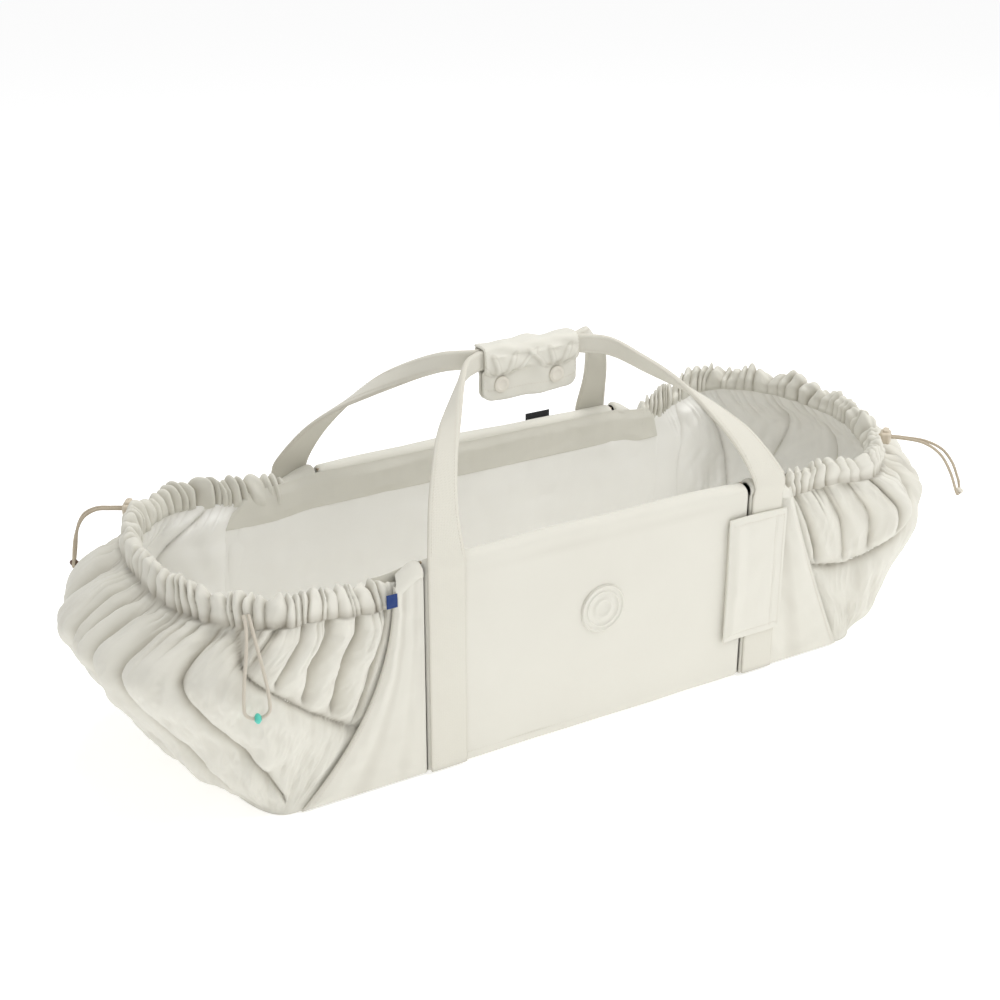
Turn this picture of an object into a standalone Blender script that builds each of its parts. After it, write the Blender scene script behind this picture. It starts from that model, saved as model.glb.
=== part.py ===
"""Soft carrycot with padded side panels, two gathered end bowls, drawcords and a pair of carry handles.

Metres, +Z up. The origin is on the floor under the middle of the cot, +X runs along its length.
The back half repeats the front half turned half a turn about +Z.
"""
from math import cos, hypot, pi, radians, sin

import bmesh
import bpy
from mathutils import Matrix, Vector

# ---- overall sizes
PANEL_HEIGHT = 0.210        # top edge of the side panels above the floor
PANEL_FACE_Y = 0.134        # outer face of each side panel from the middle plane
BOWL_REACH = 0.450          # widest point of each end bowl from the middle
BOWL_SWELL = 0.040          # how far a bowl stands wider than the panels' inner stack
BASE_REACH = 0.352          # end of the base from the middle
GAP = 0.0003                # clearance between pieces that touch

# ---- side panels
FAR_EDGE = 0.183            # panel edge on the side where the strap is sewn to the panel
NEAR_EDGE = 0.168           # panel edge on the side where the closure tab bridges the slit
SLIT = 0.004                # width of the slit between a panel and its wing
COVER_T = 0.004
FOAM_T = 0.006
BOARD_T = 0.003
LINER_T = 0.004
CAP_T = 0.003               # cover fabric folded over the top of the stack
HEM_CLEAR = 0.002           # lowest edge of the cover above the floor

# ---- wings: height of the outer corner, reach at the top and at the floor, curve of the edge
WING_DROP = 0.015
WING_FLARED = (0.214, 0.312, 2.4)
WING_STRAIGHT = (0.218, 0.300, 1.15)
WING_STEPS = 8

# ---- end bowls
SHELL_T = 0.003
PADDING_T = 0.007
LINING_T = 0.003
WALL_TOP = 0.188
CASING_TOP = 0.212
CASING_T = 0.0022
DRAWCORD_D = 0.004
BOWL_POWER = 2.6            # squareness of the bowl in plan
BOWL_STEPS = 9
SWELL_START = 0.35          # share of the turn over which the swell grows

# ---- base and mattress
BASE_COVER_T = 0.004
BASE_BOARD_T = 0.003
BOARD_CLEAR = 0.0008
MATTRESS_T = 0.025
MATTRESS_CLEAR = 0.002
MATTRESS_ROUND = 0.006

# ---- handles
STRAP_W = 0.037
STRAP_T = 0.0025
GRIP_STRAP_H = 0.0185       # strap folded in half inside the grip
GRIP_STRAP_T = 0.0056
GRIP_STRAP_Z = 0.3335
STRAP_STEP = 0.012          # spacing of a strap leg's sections
STRAP_SPACING = 0.0009      # each folded strap from the middle plane

# ---- grip wrap
WRAP_LENGTH = 0.104
WRAP_T = 0.0028
WRAP_CLEAR = 0.0009
WRAP_BOTTOM = 0.292
SNAP_D = 0.014
SOCKET_D = 0.011
SNAP_Z = 0.3055
SNAP_X = (-0.0325, 0.0285)
SNAP_T = 0.0022
SOCKET_Y = (-0.0028, 0.0003)

# ---- closure tabs, badge and labels
TAB_LEFT, TAB_RIGHT = 0.143, 0.2135
TAB_LOW, TAB_HIGH = 0.047, 0.178
TAB_T = 0.0025
TAB_INSET = 0.008           # hook strip inside the tab's outline
BADGE_D = 0.048
BADGE_T = 0.0015
BADGE_Z = 0.121

# ---- cord loops, beads and cord locks
CORD_D = 0.003
CORD_STEP = 0.0072          # spacing of the points along a cord
STRAND_GAP = 0.0021         # each strand of a loop from the loop's middle line
BEAD_D = 0.009
BEAD_LENGTH = 0.0054
BEAD_SIDES = 12
BEAD_CLEAR = 0.0007
LOCK_LENGTH, LOCK_WIDTH = 0.012, 0.017
LOCK_BELOW, LOCK_ABOVE = 0.0074, 0.006
LOCK_FLOOR = 0.0013
LOCK_STANDOFF = 0.0065
BUTTON_LENGTH, BUTTON_WIDTH = 0.006, 0.011
BUTTON_TRAVEL = 0.0025
BUTTON_CLEAR = 0.0003
CORD_CLEAR = 0.0004

INNER_Y = PANEL_FACE_Y - COVER_T - GAP              # outer face of foam and bowl shells
WALL_T = SHELL_T + PADDING_T + LINING_T + 2 * GAP
STACK_T = FOAM_T + BOARD_T + LINER_T + 2 * GAP
INSIDE = max(WALL_T, STACK_T)                       # thickest wall that the base has to fit between
FLOOR_TOP = BASE_COVER_T + GAP
AXIS_Z = PANEL_HEIGHT + STRAP_T / 2 + GAP           # handle hinge height
AXIS_Y = PANEL_FACE_Y + GAP + STRAP_T / 2           # handle hinge from the middle plane


def clear_scene():
    for obj in list(bpy.data.objects):
        bpy.data.objects.remove(obj, do_unlink=True)


def material(name, colour, roughness, metallic=0.0):
    mat = bpy.data.materials.get(name) or bpy.data.materials.new(name)
    mat.use_nodes = True
    shader = mat.node_tree.nodes["Principled BSDF"]
    shader.inputs["Base Color"].default_value = (*colour, 1.0)
    shader.inputs["Roughness"].default_value = roughness
    shader.inputs["Metallic"].default_value = metallic
    return mat


COTTON = ("cotton", (0.80, 0.75, 0.66), 0.9)
LINEN = ("lining", (0.86, 0.84, 0.79), 0.9)
WADDING = ("wadding", (0.92, 0.91, 0.88), 1.0)
BOARD = ("board", (0.45, 0.36, 0.26), 0.8)
WEBBING = ("webbing", (0.77, 0.71, 0.61), 0.85)
CORD = ("cord", (0.66, 0.57, 0.44), 0.8)
PLASTIC = ("plastic", (0.72, 0.65, 0.54), 0.4)
MINT = ("mint_plastic", (0.16, 0.62, 0.52), 0.35)
BROWN = ("brown_plastic", (0.16, 0.09, 0.05), 0.4)
NAVY = ("navy_ribbon", (0.03, 0.08, 0.30), 0.8)
BLACK = ("black_ribbon", (0.02, 0.02, 0.025), 0.7)


def add_mesh(name, bm, finish, smooth=True):
    bmesh.ops.recalc_face_normals(bm, faces=bm.faces)
    if bm.calc_volume(signed=True) < 0:
        bmesh.ops.reverse_faces(bm, faces=bm.faces)
    mesh = bpy.data.meshes.new(name)
    bm.to_mesh(mesh)
    bm.free()
    if smooth:
        mesh.shade_smooth()
        mesh.set_sharp_from_angle(angle=radians(35))
    obj = bpy.data.objects.new(name, mesh)
    bpy.context.scene.collection.objects.link(obj)
    obj.data.materials.append(material(*finish))
    return obj


def loft(name, sections, finish):
    """Closed body through sections with the same number of points, its two ends capped.

    Each four-sided face is split along the diagonal that rises, so that nested walls stay nested.
    """
    bm = bmesh.new()
    rings = [[bm.verts.new(p) for p in section] for section in sections]
    count = len(rings[0])
    for low, high in zip(rings, rings[1:]):
        for i in range(count):
            j = (i + 1) % count
            if low[j].co.z >= low[i].co.z:
                bm.faces.new((low[i], low[j], high[j]))
                bm.faces.new((low[i], high[j], high[i]))
            else:
                bm.faces.new((low[i], low[j], high[i]))
                bm.faces.new((low[j], high[j], high[i]))
    bm.faces.new(rings[0][::-1])
    bm.faces.new(rings[-1])
    return add_mesh(name, bm, finish)


def turn(side, x, y, z):
    """The front half as it is for side -1, turned half a turn about +Z for side +1."""
    return (x, y, z) if side < 0 else (-x, -y, z)


def plate(name, side, outline, y0, y1, finish):
    """Flat piece from an outline in x and z, between two distances from the middle plane."""
    return loft(name, [[turn(side, x, -y, z) for x, z in outline] for y in (y0, y1)], finish)


def rectangle(x0, x1, z0, z1):
    return [(x0, z0), (x1, z0), (x1, z1), (x0, z1)]


def cut(obj, cutter):
    cutter.hide_render = True
    cutter.display_type = "WIRE"
    tool = obj.modifiers.new("cut", "BOOLEAN")
    tool.operation = "DIFFERENCE"
    tool.solver = "EXACT"
    tool.object = cutter


# ---- shape of the bowls

def blend_table(table, z):
    """Smooth curve through (height, value) pairs."""
    if z <= table[0][0]:
        return table[0][1]
    for (z0, v0), (z1, v1) in zip(table, table[1:]):
        if z <= z1:
            f = (z - z0) / (z1 - z0)
            return v0 + (v1 - v0) * f
    return table[-1][1]


REACH = [(FLOOR_TOP, BASE_REACH), (0.030, BOWL_REACH - 0.064), (0.080, BOWL_REACH - 0.031),
         (0.120, BOWL_REACH - 0.005), (0.150, BOWL_REACH), (WALL_TOP, BOWL_REACH - 0.050),
         (CASING_TOP, BOWL_REACH - 0.072)]
SWELL = [(FLOOR_TOP, 0.0), (0.030, 0.3 * BOWL_SWELL), (0.080, 0.7 * BOWL_SWELL),
         (0.120, 0.88 * BOWL_SWELL), (0.150, 0.92 * BOWL_SWELL), (WALL_TOP, 0.8 * BOWL_SWELL),
         (CASING_TOP, 0.7 * BOWL_SWELL)]
WALL_LEVELS = (FLOOR_TOP, 0.030, 0.080, 0.120, 0.150, WALL_TOP)


def wing_edge(flared, z):
    """Distance from the middle to a wing's curved edge at height z."""
    top, bottom, power = WING_FLARED if flared else WING_STRAIGHT
    return top + (bottom - top) * (1 - min(z, PANEL_HEIGHT) / PANEL_HEIGHT) ** power


def is_flared(end, side):
    return end == side


def panel_edge(end, side):
    return FAR_EDGE if is_flared(end, side) else NEAR_EDGE


def bowl_plan(end, side, z, inset):
    """Half of a bowl's plan at height z, from the slit round to the far end of the cot."""
    start = panel_edge(end, side) + SLIT
    shoulder = wing_edge(is_flared(end, side), z) + 0.001
    reach = blend_table(REACH, z) - inset
    swell = blend_table(SWELL, z)
    half = INNER_Y - inset
    points = [(start, half), ((start + shoulder) / 2, half)]
    for step in range(BOWL_STEPS + 1):
        angle = pi / 2 * step / BOWL_STEPS
        share = min(1.0, step / BOWL_STEPS / SWELL_START)
        width = half + swell * share * share * (3 - 2 * share)
        across = width * max(cos(angle), 0.0) ** (2 / BOWL_POWER) if step < BOWL_STEPS else 0.0
        points.append((shoulder + (reach - shoulder) * sin(angle) ** (2 / BOWL_POWER), across))
    return [(end * x, side * y) for x, y in points]


def bowl_sweep(name, end, profile, finish):
    """Sweeps a closed profile of (inset, height) pairs round a bowl, front slit to back slit."""
    halves = []
    for side in (-1, 1):
        rows = [bowl_plan(end, side, z, inset) for inset, z in profile]
        sections = [[(*row[i], z) for row, (inset, z) in zip(rows, profile)] for i in range(len(rows[0]))]
        halves.append(sections)
    return loft(name, halves[0] + halves[1][-2::-1], finish)


def wall_profile(inset, thickness):
    outer = [(inset, z) for z in WALL_LEVELS]
    inner = [(inset + thickness, z) for z in reversed(WALL_LEVELS)]
    return outer + inner


def footprint(z, inset):
    """Closed plan of the whole cot at height z."""
    ring = []
    for end, side in ((1, -1), (1, 1), (-1, 1), (-1, -1)):
        half = bowl_plan(end, side, z, inset)
        half[0] = (end * 0.1, half[0][1])
        ring += half[:-1] if end * side < 0 else half[::-1]
    return ring


def build_base():
    loft("base_cover", [[(x, y, z) for x, y in footprint(FLOOR_TOP, 0.0)] for z in (0.0, BASE_COVER_T)], COTTON)
    top = FLOOR_TOP + BASE_BOARD_T
    board = footprint(FLOOR_TOP, INSIDE + BOARD_CLEAR)
    loft("base_board", [[(x, y, z) for x, y in board] for z in (FLOOR_TOP, top)], BOARD)
    low, high = top + GAP, top + GAP + MATTRESS_T
    levels = ((low, MATTRESS_ROUND), (low + MATTRESS_ROUND, 0.0), (high - MATTRESS_ROUND, 0.0),
              (high, MATTRESS_ROUND))
    edge = INSIDE + MATTRESS_CLEAR
    rings = [[(x, y, z) for x, y in footprint(FLOOR_TOP, edge + inset)] for z, inset in levels]
    loft("mattress", rings, WADDING)


def build_panel(side):
    word = "front" if side < 0 else "back"
    y_foam = INNER_Y
    y_board = y_foam - FOAM_T - GAP
    y_liner = y_board - BOARD_T - GAP
    y_end = y_liner - LINER_T
    stack_top = PANEL_HEIGHT - CAP_T - GAP
    profile = [(PANEL_FACE_Y, HEM_CLEAR), (PANEL_FACE_Y, PANEL_HEIGHT), (y_end, PANEL_HEIGHT),
               (y_end, PANEL_HEIGHT - CAP_T), (INNER_Y + GAP, PANEL_HEIGHT - CAP_T), (INNER_Y + GAP, HEM_CLEAR)]
    loft(f"{word}_cover", [[turn(side, x, -y, z) for y, z in profile] for x in (-FAR_EDGE, NEAR_EDGE)], COTTON)
    layers = (("foam", y_foam, FOAM_T, WADDING), ("board", y_board, BOARD_T, BOARD),
              ("liner", y_liner, LINER_T, LINEN))
    for layer, face, thickness, finish in layers:
        outline = rectangle(-FAR_EDGE, NEAR_EDGE, FLOOR_TOP, stack_top)
        plate(f"{word}_{layer}", side, outline, face, face - thickness, finish)


def build_wing(end, side):
    flared = is_flared(end, side)
    start = panel_edge(end, side) + SLIT
    outer_top = PANEL_HEIGHT - WING_DROP
    edge = []
    for step in range(WING_STEPS + 1):
        z = HEM_CLEAR + (outer_top - HEM_CLEAR) * step / WING_STEPS
        edge.append((wing_edge(flared, z), z))
    outline = [(start, HEM_CLEAR)] + edge + [(start, PANEL_HEIGHT)]
    section = [[(end * x, side * y, z) for x, z in outline] for y in (PANEL_FACE_Y, INNER_Y + GAP)]
    word = "front" if side < 0 else "back"
    loft(f"{word}_{'right' if end > 0 else 'left'}_wing", section, COTTON)


def build_bowl(end):
    word = "right" if end > 0 else "left"
    bowl_sweep(f"{word}_bowl_shell", end, wall_profile(0.0, SHELL_T), COTTON)
    bowl_sweep(f"{word}_bowl_padding", end, wall_profile(SHELL_T + GAP, PADDING_T), WADDING)
    bowl_sweep(f"{word}_bowl_lining", end, wall_profile(WALL_T - LINING_T, LINING_T), LINEN)
    low, top, mid = WALL_TOP + GAP, CASING_TOP, WALL_T / 2
    shoulder = top - 0.0075
    casing = [(0.0, low), (0.0, shoulder), (0.003, top - 0.002), (mid, top), (WALL_T - 0.003, top - 0.002),
              (WALL_T, shoulder), (WALL_T, low), (WALL_T - CASING_T, low), (WALL_T - CASING_T, shoulder),
              (mid, top - CASING_T), (CASING_T, shoulder), (CASING_T, low)]
    bowl_sweep(f"{word}_rim_casing", end, casing, COTTON)
    half_room, rise = mid - CASING_T, top - CASING_T - shoulder
    radius = DRAWCORD_D / 2
    centre = top - CASING_T - (radius + 2 * GAP) * hypot(half_room, rise) / half_room
    ring = [(mid + radius * cos(pi * k / 4), centre + radius * sin(pi * k / 4)) for k in range(8)]
    bowl_sweep(f"{word}_drawcord", end, ring, CORD)


def strap_places():
    """Middle of each front strap along x: the far one on the panel, the near one on the wing."""
    return -FAR_EDGE + STRAP_W / 2, NEAR_EDGE + SLIT + STRAP_W / 2


def build_bands(side):
    word = "front" if side < 0 else "back"
    for centre in strap_places():
        x0, x1 = centre - STRAP_W / 2, centre + STRAP_W / 2
        hand = "left" if centre * -side < 0 else "right"
        top = AXIS_Z - STRAP_T / 2 - GAP
        face = PANEL_FACE_Y + GAP
        plate(f"{word}_{hand}_band", side, rectangle(x0, x1, HEM_CLEAR, top), face, face + STRAP_T, WEBBING)


def catmull(points, spacing):
    """Points at about even spacing along a smooth curve through the given ones."""
    route = [Vector(p) for p in points]
    route = [2 * route[0] - route[1]] + route + [2 * route[-1] - route[-2]]
    fine = []
    for a, b, c, d in zip(route, route[1:], route[2:], route[3:]):
        for k in range(24):
            t = k / 24
            fine.append(0.5 * (2 * b + (c - a) * t + (2 * a - 5 * b + 4 * c - d) * t * t
                               + (3 * b - a - 3 * c + d) * t ** 3))
    fine.append(route[-2])
    lengths = [0.0]
    for p, q in zip(fine, fine[1:]):
        lengths.append(lengths[-1] + (q - p).length)
    count = max(2, round(lengths[-1] / spacing))
    result, k = [], 0
    for step in range(count + 1):
        target = lengths[-1] * step / count
        while k < len(fine) - 2 and lengths[k + 1] < target:
            k += 1
        span = lengths[k + 1] - lengths[k]
        result.append(fine[k].lerp(fine[k + 1], (target - lengths[k]) / span))
    return result


GRIP_HALF = WRAP_LENGTH / 2 + 0.004
# each leg's way from its hinge to the grip, as shares of the whole in x, y and z
FAR_LEG = [(0.07, 0.14, 0.307), (0.20, 0.304, 0.570), (0.355, 0.474, 0.754), (0.576, 0.694, 0.902),
           (0.797, 0.899, 0.984)]
NEAR_LEG = [(0.115, 0.126, 0.274), (0.264, 0.262, 0.492), (0.45, 0.452, 0.705), (0.643, 0.664, 0.865),
            (0.807, 0.876, 0.975)]


def strap_section(point, along, across, width, thickness):
    across = (across - across.dot(along) * along).normalized()
    through = along.cross(across)
    return [point + across * (width / 2 * u) + through * (thickness / 2 * v)
            for u, v in ((-1, -1), (1, -1), (1, 1), (-1, 1))]


def handle_points():
    """Middle line of the front handle from its far hinge, straight through the grip, to its near hinge."""
    grip_y = -(STRAP_SPACING + GRIP_STRAP_T / 2)
    legs = []
    for place, end, shares in zip(strap_places(), (-GRIP_HALF, GRIP_HALF), (FAR_LEG, NEAR_LEG)):
        hinge, grip = (place, -AXIS_Y, AXIS_Z), (end, grip_y, GRIP_STRAP_Z)
        bends = [tuple(h + (g - h) * f for h, g, f in zip(hinge, grip, share)) for share in shares]
        legs.append(catmull([hinge] + bends + [grip], STRAP_STEP))
    return legs[0] + [Vector((0.0, grip_y, GRIP_STRAP_Z))] + legs[1][::-1]


def build_handle(side):
    word = "front" if side < 0 else "back"
    points = handle_points()
    sections = []
    for i, point in enumerate(points):
        before, after = points[max(i - 1, 0)], points[min(i + 1, len(points) - 1)]
        along = (after - before).normalized()
        if abs(point.x) <= GRIP_HALF + GAP:
            along = Vector((1, 0, 0))
        reach = abs(strap_places()[0 if point.x < 0 else 1])
        twist = min(1.0, max(0.0, (reach - abs(point.x)) / (reach - GRIP_HALF)))
        flat = Vector((1, 0, 0))
        upright = Vector((0, 0, 1)) if point.x < 0 else Vector((0, 0, -1))
        across = flat.lerp(upright, twist) if 0 < i < len(points) - 1 else flat
        lift = min(1.0, max(0.0, (point.z - AXIS_Z) / (GRIP_STRAP_Z - AXIS_Z)))
        folded = 1 - (1 - lift) ** 1.8
        width = STRAP_W + (GRIP_STRAP_H - STRAP_W) * folded
        thickness = STRAP_T + (GRIP_STRAP_T - STRAP_T) * folded
        sections.append((point, along, across, width, thickness))
    ends = []
    for place, sign in ((0, 1), (-1, -1)):
        point = Vector(points[place])
        rows = []
        for angle in (75, 45, 0):
            drop = Vector((0, 0, -STRAP_T / 2 * sin(radians(angle))))
            rows.append((point + drop, Vector((0, 0, sign)), Vector((1, 0, 0)), STRAP_W,
                         STRAP_T * cos(radians(angle))))
        ends.append(rows)
    rows = ends[0] + sections[1:-1] + ends[1][::-1]
    rings = [[turn(side, *p) for p in strap_section(*row)] for row in rows]
    loft(f"{word}_handle_strap", rings, WEBBING)


def strip_outline(path, thickness):
    """Closed outline of an even strip along a path of (y, z) points."""
    left, right = [], []
    for i, here in enumerate(path):
        before, after = path[max(i - 1, 0)], path[min(i + 1, len(path) - 1)]
        a = Vector(here) - Vector(before) if i else Vector(after) - Vector(here)
        b = Vector(after) - Vector(here) if i < len(path) - 1 else a
        a, b = a.normalized(), b.normalized()
        middle = (a + b).normalized()
        reach = thickness / 2 / max(middle.dot(a), 0.5)
        normal = Vector((-middle.y, middle.x))
        left.append(Vector(here) + normal * reach)
        right.append(Vector(here) - normal * reach)
    return left + right[::-1]


def disc(name, centre, radius, y0, y1, finish, sides=20):
    rows = []
    for y in (y0, y1):
        angles = [2 * pi * k / sides for k in range(sides)]
        rows.append([(centre[0] + radius * cos(a), y, centre[1] + radius * sin(a)) for a in angles])
    return loft(name, rows, finish)


def build_grip():
    half = WRAP_T / 2
    inner = STRAP_SPACING + GRIP_STRAP_T + WRAP_CLEAR + half
    top = GRIP_STRAP_Z + GRIP_STRAP_H / 2 + GAP + half
    waist, low = GRIP_STRAP_Z - GRIP_STRAP_H / 2 + 0.0005, SNAP_Z + SNAP_D / 2 + 0.0035
    pad_y = SOCKET_Y[1] + GAP + half
    flap_y = SOCKET_Y[0] - GAP - half
    pad = [(inner, top - half - GAP), (inner, waist), (pad_y, low), (pad_y, WRAP_BOTTOM)]
    flap = [(inner + half, top), (-inner, top), (-inner, waist), (flap_y, low), (flap_y, WRAP_BOTTOM)]
    for name, path in (("grip_pad", pad), ("grip_flap", flap)):
        outline = strip_outline(path, WRAP_T)
        loft(name, [[(x, y, z) for y, z in outline] for x in (-WRAP_LENGTH / 2, WRAP_LENGTH / 2)], COTTON)
    for x, hand in zip(SNAP_X, ("left", "right")):
        face = flap_y - half - GAP
        disc(f"{hand}_snap_cap", (x, SNAP_Z), SNAP_D / 2, face, face - SNAP_T, PLASTIC)
        disc(f"{hand}_snap_socket", (x, SNAP_Z), SOCKET_D / 2, *SOCKET_Y, PLASTIC)


def build_tab(side):
    word = "front" if side < 0 else "back"
    face = PANEL_FACE_Y + GAP
    inner = face + STRAP_T + GAP
    plate(f"{word}_tab", side, rectangle(TAB_LEFT, TAB_RIGHT, TAB_LOW, TAB_HIGH), inner, inner + TAB_T, COTTON)
    strip = rectangle(TAB_LEFT + 0.002, NEAR_EDGE - 0.001, TAB_LOW + TAB_INSET, TAB_HIGH - TAB_INSET)
    plate(f"{word}_tab_strip", side, strip, face, inner - GAP, WEBBING)


def build_trim():
    face = -(PANEL_FACE_Y + GAP)
    disc("badge", (0.0, BADGE_Z), BADGE_D / 2, face, face - BADGE_T, COTTON, sides=32)
    x = -WING_FLARED[0] - 0.003
    plate("navy_tag", -1, rectangle(x - 0.006, x + 0.006, 0.176, 0.191), PANEL_FACE_Y + GAP,
          PANEL_FACE_Y + 0.0015, NAVY)
    label = rectangle(-0.112, -0.082, PANEL_HEIGHT - 0.0165, PANEL_HEIGHT + 0.0035)
    plate("black_label", 1, label, PANEL_FACE_Y + GAP, PANEL_FACE_Y + 0.0018, BLACK)


# ---- drawcord loops: bowl corner, place round the bowl, turn of the cord away from square to the
# ---- casing in degrees, middle line of the hanging part as (out, rise) from the exit, tip half width
LOOPS = {
    "back_left": {"corner": (-1, 1), "place": 6.1, "yaw": 15, "lock": True, "bead": BROWN, "spread": 0.0066,
                  "fall": [(0.044, -0.001), (0.057, -0.009), (0.065, -0.026), (0.069, -0.050)]},
    "front_left": {"corner": (-1, -1), "place": 6.3, "yaw": 28, "lock": False, "bead": MINT, "spread": 0.0105,
                   "fall": [(0.018, -0.005), (0.029, -0.022), (0.034, -0.045), (0.036, -0.066)]},
    "front_right": {"corner": (1, -1), "place": 8.8, "yaw": -25, "lock": True, "bead": PLASTIC, "spread": 0.0066,
                    "fall": [(0.052, -0.002), (0.070, -0.011), (0.082, -0.027), (0.090, -0.046)]},
    "back_right": {"corner": (1, 1), "place": 5.5, "yaw": 30, "lock": True, "bead": PLASTIC, "spread": 0.0066,
                   "fall": [(0.037, -0.001), (0.044, -0.008), (0.047, -0.020)]},
}
STRAIGHT_LOCKED = 0.030
STRAIGHT_FREE = 0.004
EXIT_Z = 0.200
CASING_LEAN = 0.3           # how far the casing leans in for each unit of height, at most


def loop_exit(loop):
    """Where a loop leaves its casing, and the direction it leaves in."""
    end, side = loop["corner"]
    yaw = radians(loop["yaw"])
    stand = GAP + CASING_LEAN * CORD_D / 2 + (STRAND_GAP + CORD_D / 2) * abs(sin(yaw) / cos(yaw))
    plan = [Vector((*p, 0.0)) for p in bowl_plan(end, side, EXIT_Z, -stand)]
    whole, part = int(loop["place"]), loop["place"] % 1
    point = plan[whole].lerp(plan[whole + 1], part)
    along = (plan[whole + 1] - plan[whole]).normalized()
    heading = Vector((along.y, -along.x, 0.0)) * end * -side
    heading.rotate(Matrix.Rotation(yaw, 3, "Z"))
    return point + Vector((0, 0, EXIT_Z)), heading


def loop_route(loop):
    """Points of one loop from one strand's exit, round its bead and back to the other strand's exit."""
    exit_point, heading = loop_exit(loop)
    across = Vector((-heading.y, heading.x, 0.0))
    straight = STRAIGHT_LOCKED if loop["lock"] else STRAIGHT_FREE
    route = [exit_point, exit_point + heading * straight / 2, exit_point + heading * straight]
    route += [exit_point + heading * out + Vector((0, 0, rise)) for out, rise in loop["fall"]]
    middle = catmull(route, CORD_STEP)
    spreads, first = [], int(straight / CORD_STEP) + 1
    for i in range(len(middle)):
        share = max(0.0, (i - first) / (len(middle) - 1 - first))
        share = share * share * (3 - 2 * share)
        spreads.append(STRAND_GAP + (loop["spread"] - STRAND_GAP) * share)
    there = [p + across * s for p, s in zip(middle, spreads)]
    back = [p - across * s for p, s in zip(middle, spreads)]
    onward = (middle[-1] - middle[-2]).normalized() * loop["spread"] * sin(pi / 3)
    sideways = across * loop["spread"] * cos(pi / 3)
    bead_centre = middle[-1] + onward
    return there + [bead_centre + sideways, bead_centre - sideways] + back[::-1], bead_centre, across, heading


def add_cord(name, points):
    curve = bpy.data.curves.new(name, "CURVE")
    curve.dimensions = "3D"
    curve.bevel_depth = CORD_D / 2
    curve.bevel_resolution = 2
    curve.use_fill_caps = True
    spline = curve.splines.new("POLY")
    spline.points.add(len(points) - 1)
    for slot, point in zip(spline.points, points):
        slot.co = (*point, 1.0)
    obj = bpy.data.objects.new(name, curve)
    bpy.context.scene.collection.objects.link(obj)
    obj.data.materials.append(material(*CORD))
    return obj


def frame_matrix(origin, heading, across):
    """Local x along the strands, y across them, z up."""
    return Matrix.Translation(origin) @ Matrix((heading, across, Vector((0, 0, 1)))).transposed().to_4x4()


def block(name, matrix, lows, highs, finish, bevel=0.0):
    bm = bmesh.new()
    bmesh.ops.create_cube(bm, size=1.0)
    for vert in bm.verts:
        vert.co = Vector([lo + (hi - lo) * (c + 0.5) for lo, hi, c in zip(lows, highs, vert.co)])
    if bevel:
        bmesh.ops.bevel(bm, geom=bm.edges[:], offset=bevel, segments=1, affect="EDGES", profile=0.5)
    bm.transform(matrix)
    return add_mesh(name, bm, finish)


def build_lock(word, exit_point, heading, across):
    origin = exit_point + heading * (LOCK_STANDOFF + LOCK_LENGTH / 2)
    matrix = frame_matrix(origin, heading, across)
    half_l, half_w = LOCK_LENGTH / 2, LOCK_WIDTH / 2
    cord_w = STRAND_GAP + CORD_D / 2 + CORD_CLEAR
    cord_h = CORD_D / 2 + CORD_CLEAR
    body = block(f"{word}_lock", matrix, (-half_l, -half_w, -LOCK_BELOW), (half_l, half_w, LOCK_ABOVE), PLASTIC,
                 bevel=0.0022)
    hole = block("cord_hole", matrix, (-0.02, -cord_w, -cord_h), (0.02, cord_w, cord_h), PLASTIC)
    bl, bw = BUTTON_LENGTH / 2, BUTTON_WIDTH / 2
    floor = -LOCK_BELOW + LOCK_FLOOR
    well = block("button_well", matrix, (-bl - BUTTON_CLEAR, -bw - BUTTON_CLEAR, floor),
                 (bl + BUTTON_CLEAR, bw + BUTTON_CLEAR, 0.02), PLASTIC)
    cut(body, hole)
    cut(body, well)
    foot = floor + BUTTON_TRAVEL + BUTTON_CLEAR
    crown = LOCK_ABOVE + BUTTON_TRAVEL + 0.0008
    button = block(f"{word}_button", matrix, (-bl, -bw, foot), (bl, bw, crown), PLASTIC)
    slot_top = cord_h + BUTTON_TRAVEL
    slot = block("button_slot", matrix, (-0.02, -cord_w, -cord_h), (0.02, cord_w, slot_top), PLASTIC)
    cut(button, slot)


def build_bead(word, centre, across, finish):
    """Turned bead whose bore lies along the cord's turn."""
    side = across.normalized()
    out = side.cross(Vector((0, 0, 1))).normalized()
    up = out.cross(side)
    bore, radius, half = CORD_D / 2 + BEAD_CLEAR, BEAD_D / 2, BEAD_LENGTH / 2
    profile = [(-half, bore), (-half, radius * 0.72), (-half * 0.55, radius * 0.94), (0.0, radius),
               (half * 0.55, radius * 0.94), (half, radius * 0.72), (half, bore)]
    bm = bmesh.new()
    rows = []
    for along, size in profile:
        angles = [2 * pi * k / BEAD_SIDES for k in range(BEAD_SIDES)]
        rows.append([bm.verts.new(centre + side * along + (up * cos(a) + out * sin(a)) * size) for a in angles])
    for low, high in zip(rows, rows[1:] + rows[:1]):
        for i in range(BEAD_SIDES):
            j = (i + 1) % BEAD_SIDES
            bm.faces.new((low[i], low[j], high[j], high[i]))
    add_mesh(f"{word}_bead", bm, finish)


def build_loops():
    for word, loop in LOOPS.items():
        points, bead_centre, across, heading = loop_route(loop)
        add_cord(f"{word}_loop", points)
        build_bead(word, bead_centre, across, loop["bead"])
        if loop["lock"]:
            build_lock(word, points[0] - across * STRAND_GAP, heading, across)


def main():
    clear_scene()
    build_base()
    for side in (-1, 1):
        build_panel(side)
        build_bands(side)
        build_tab(side)
        build_handle(side)
    for end in (-1, 1):
        build_bowl(end)
        for side in (-1, 1):
            build_wing(end, side)
    build_grip()
    build_trim()
    build_loops()


main()
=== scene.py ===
from math import cos, hypot, pi, radians, sin

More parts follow.
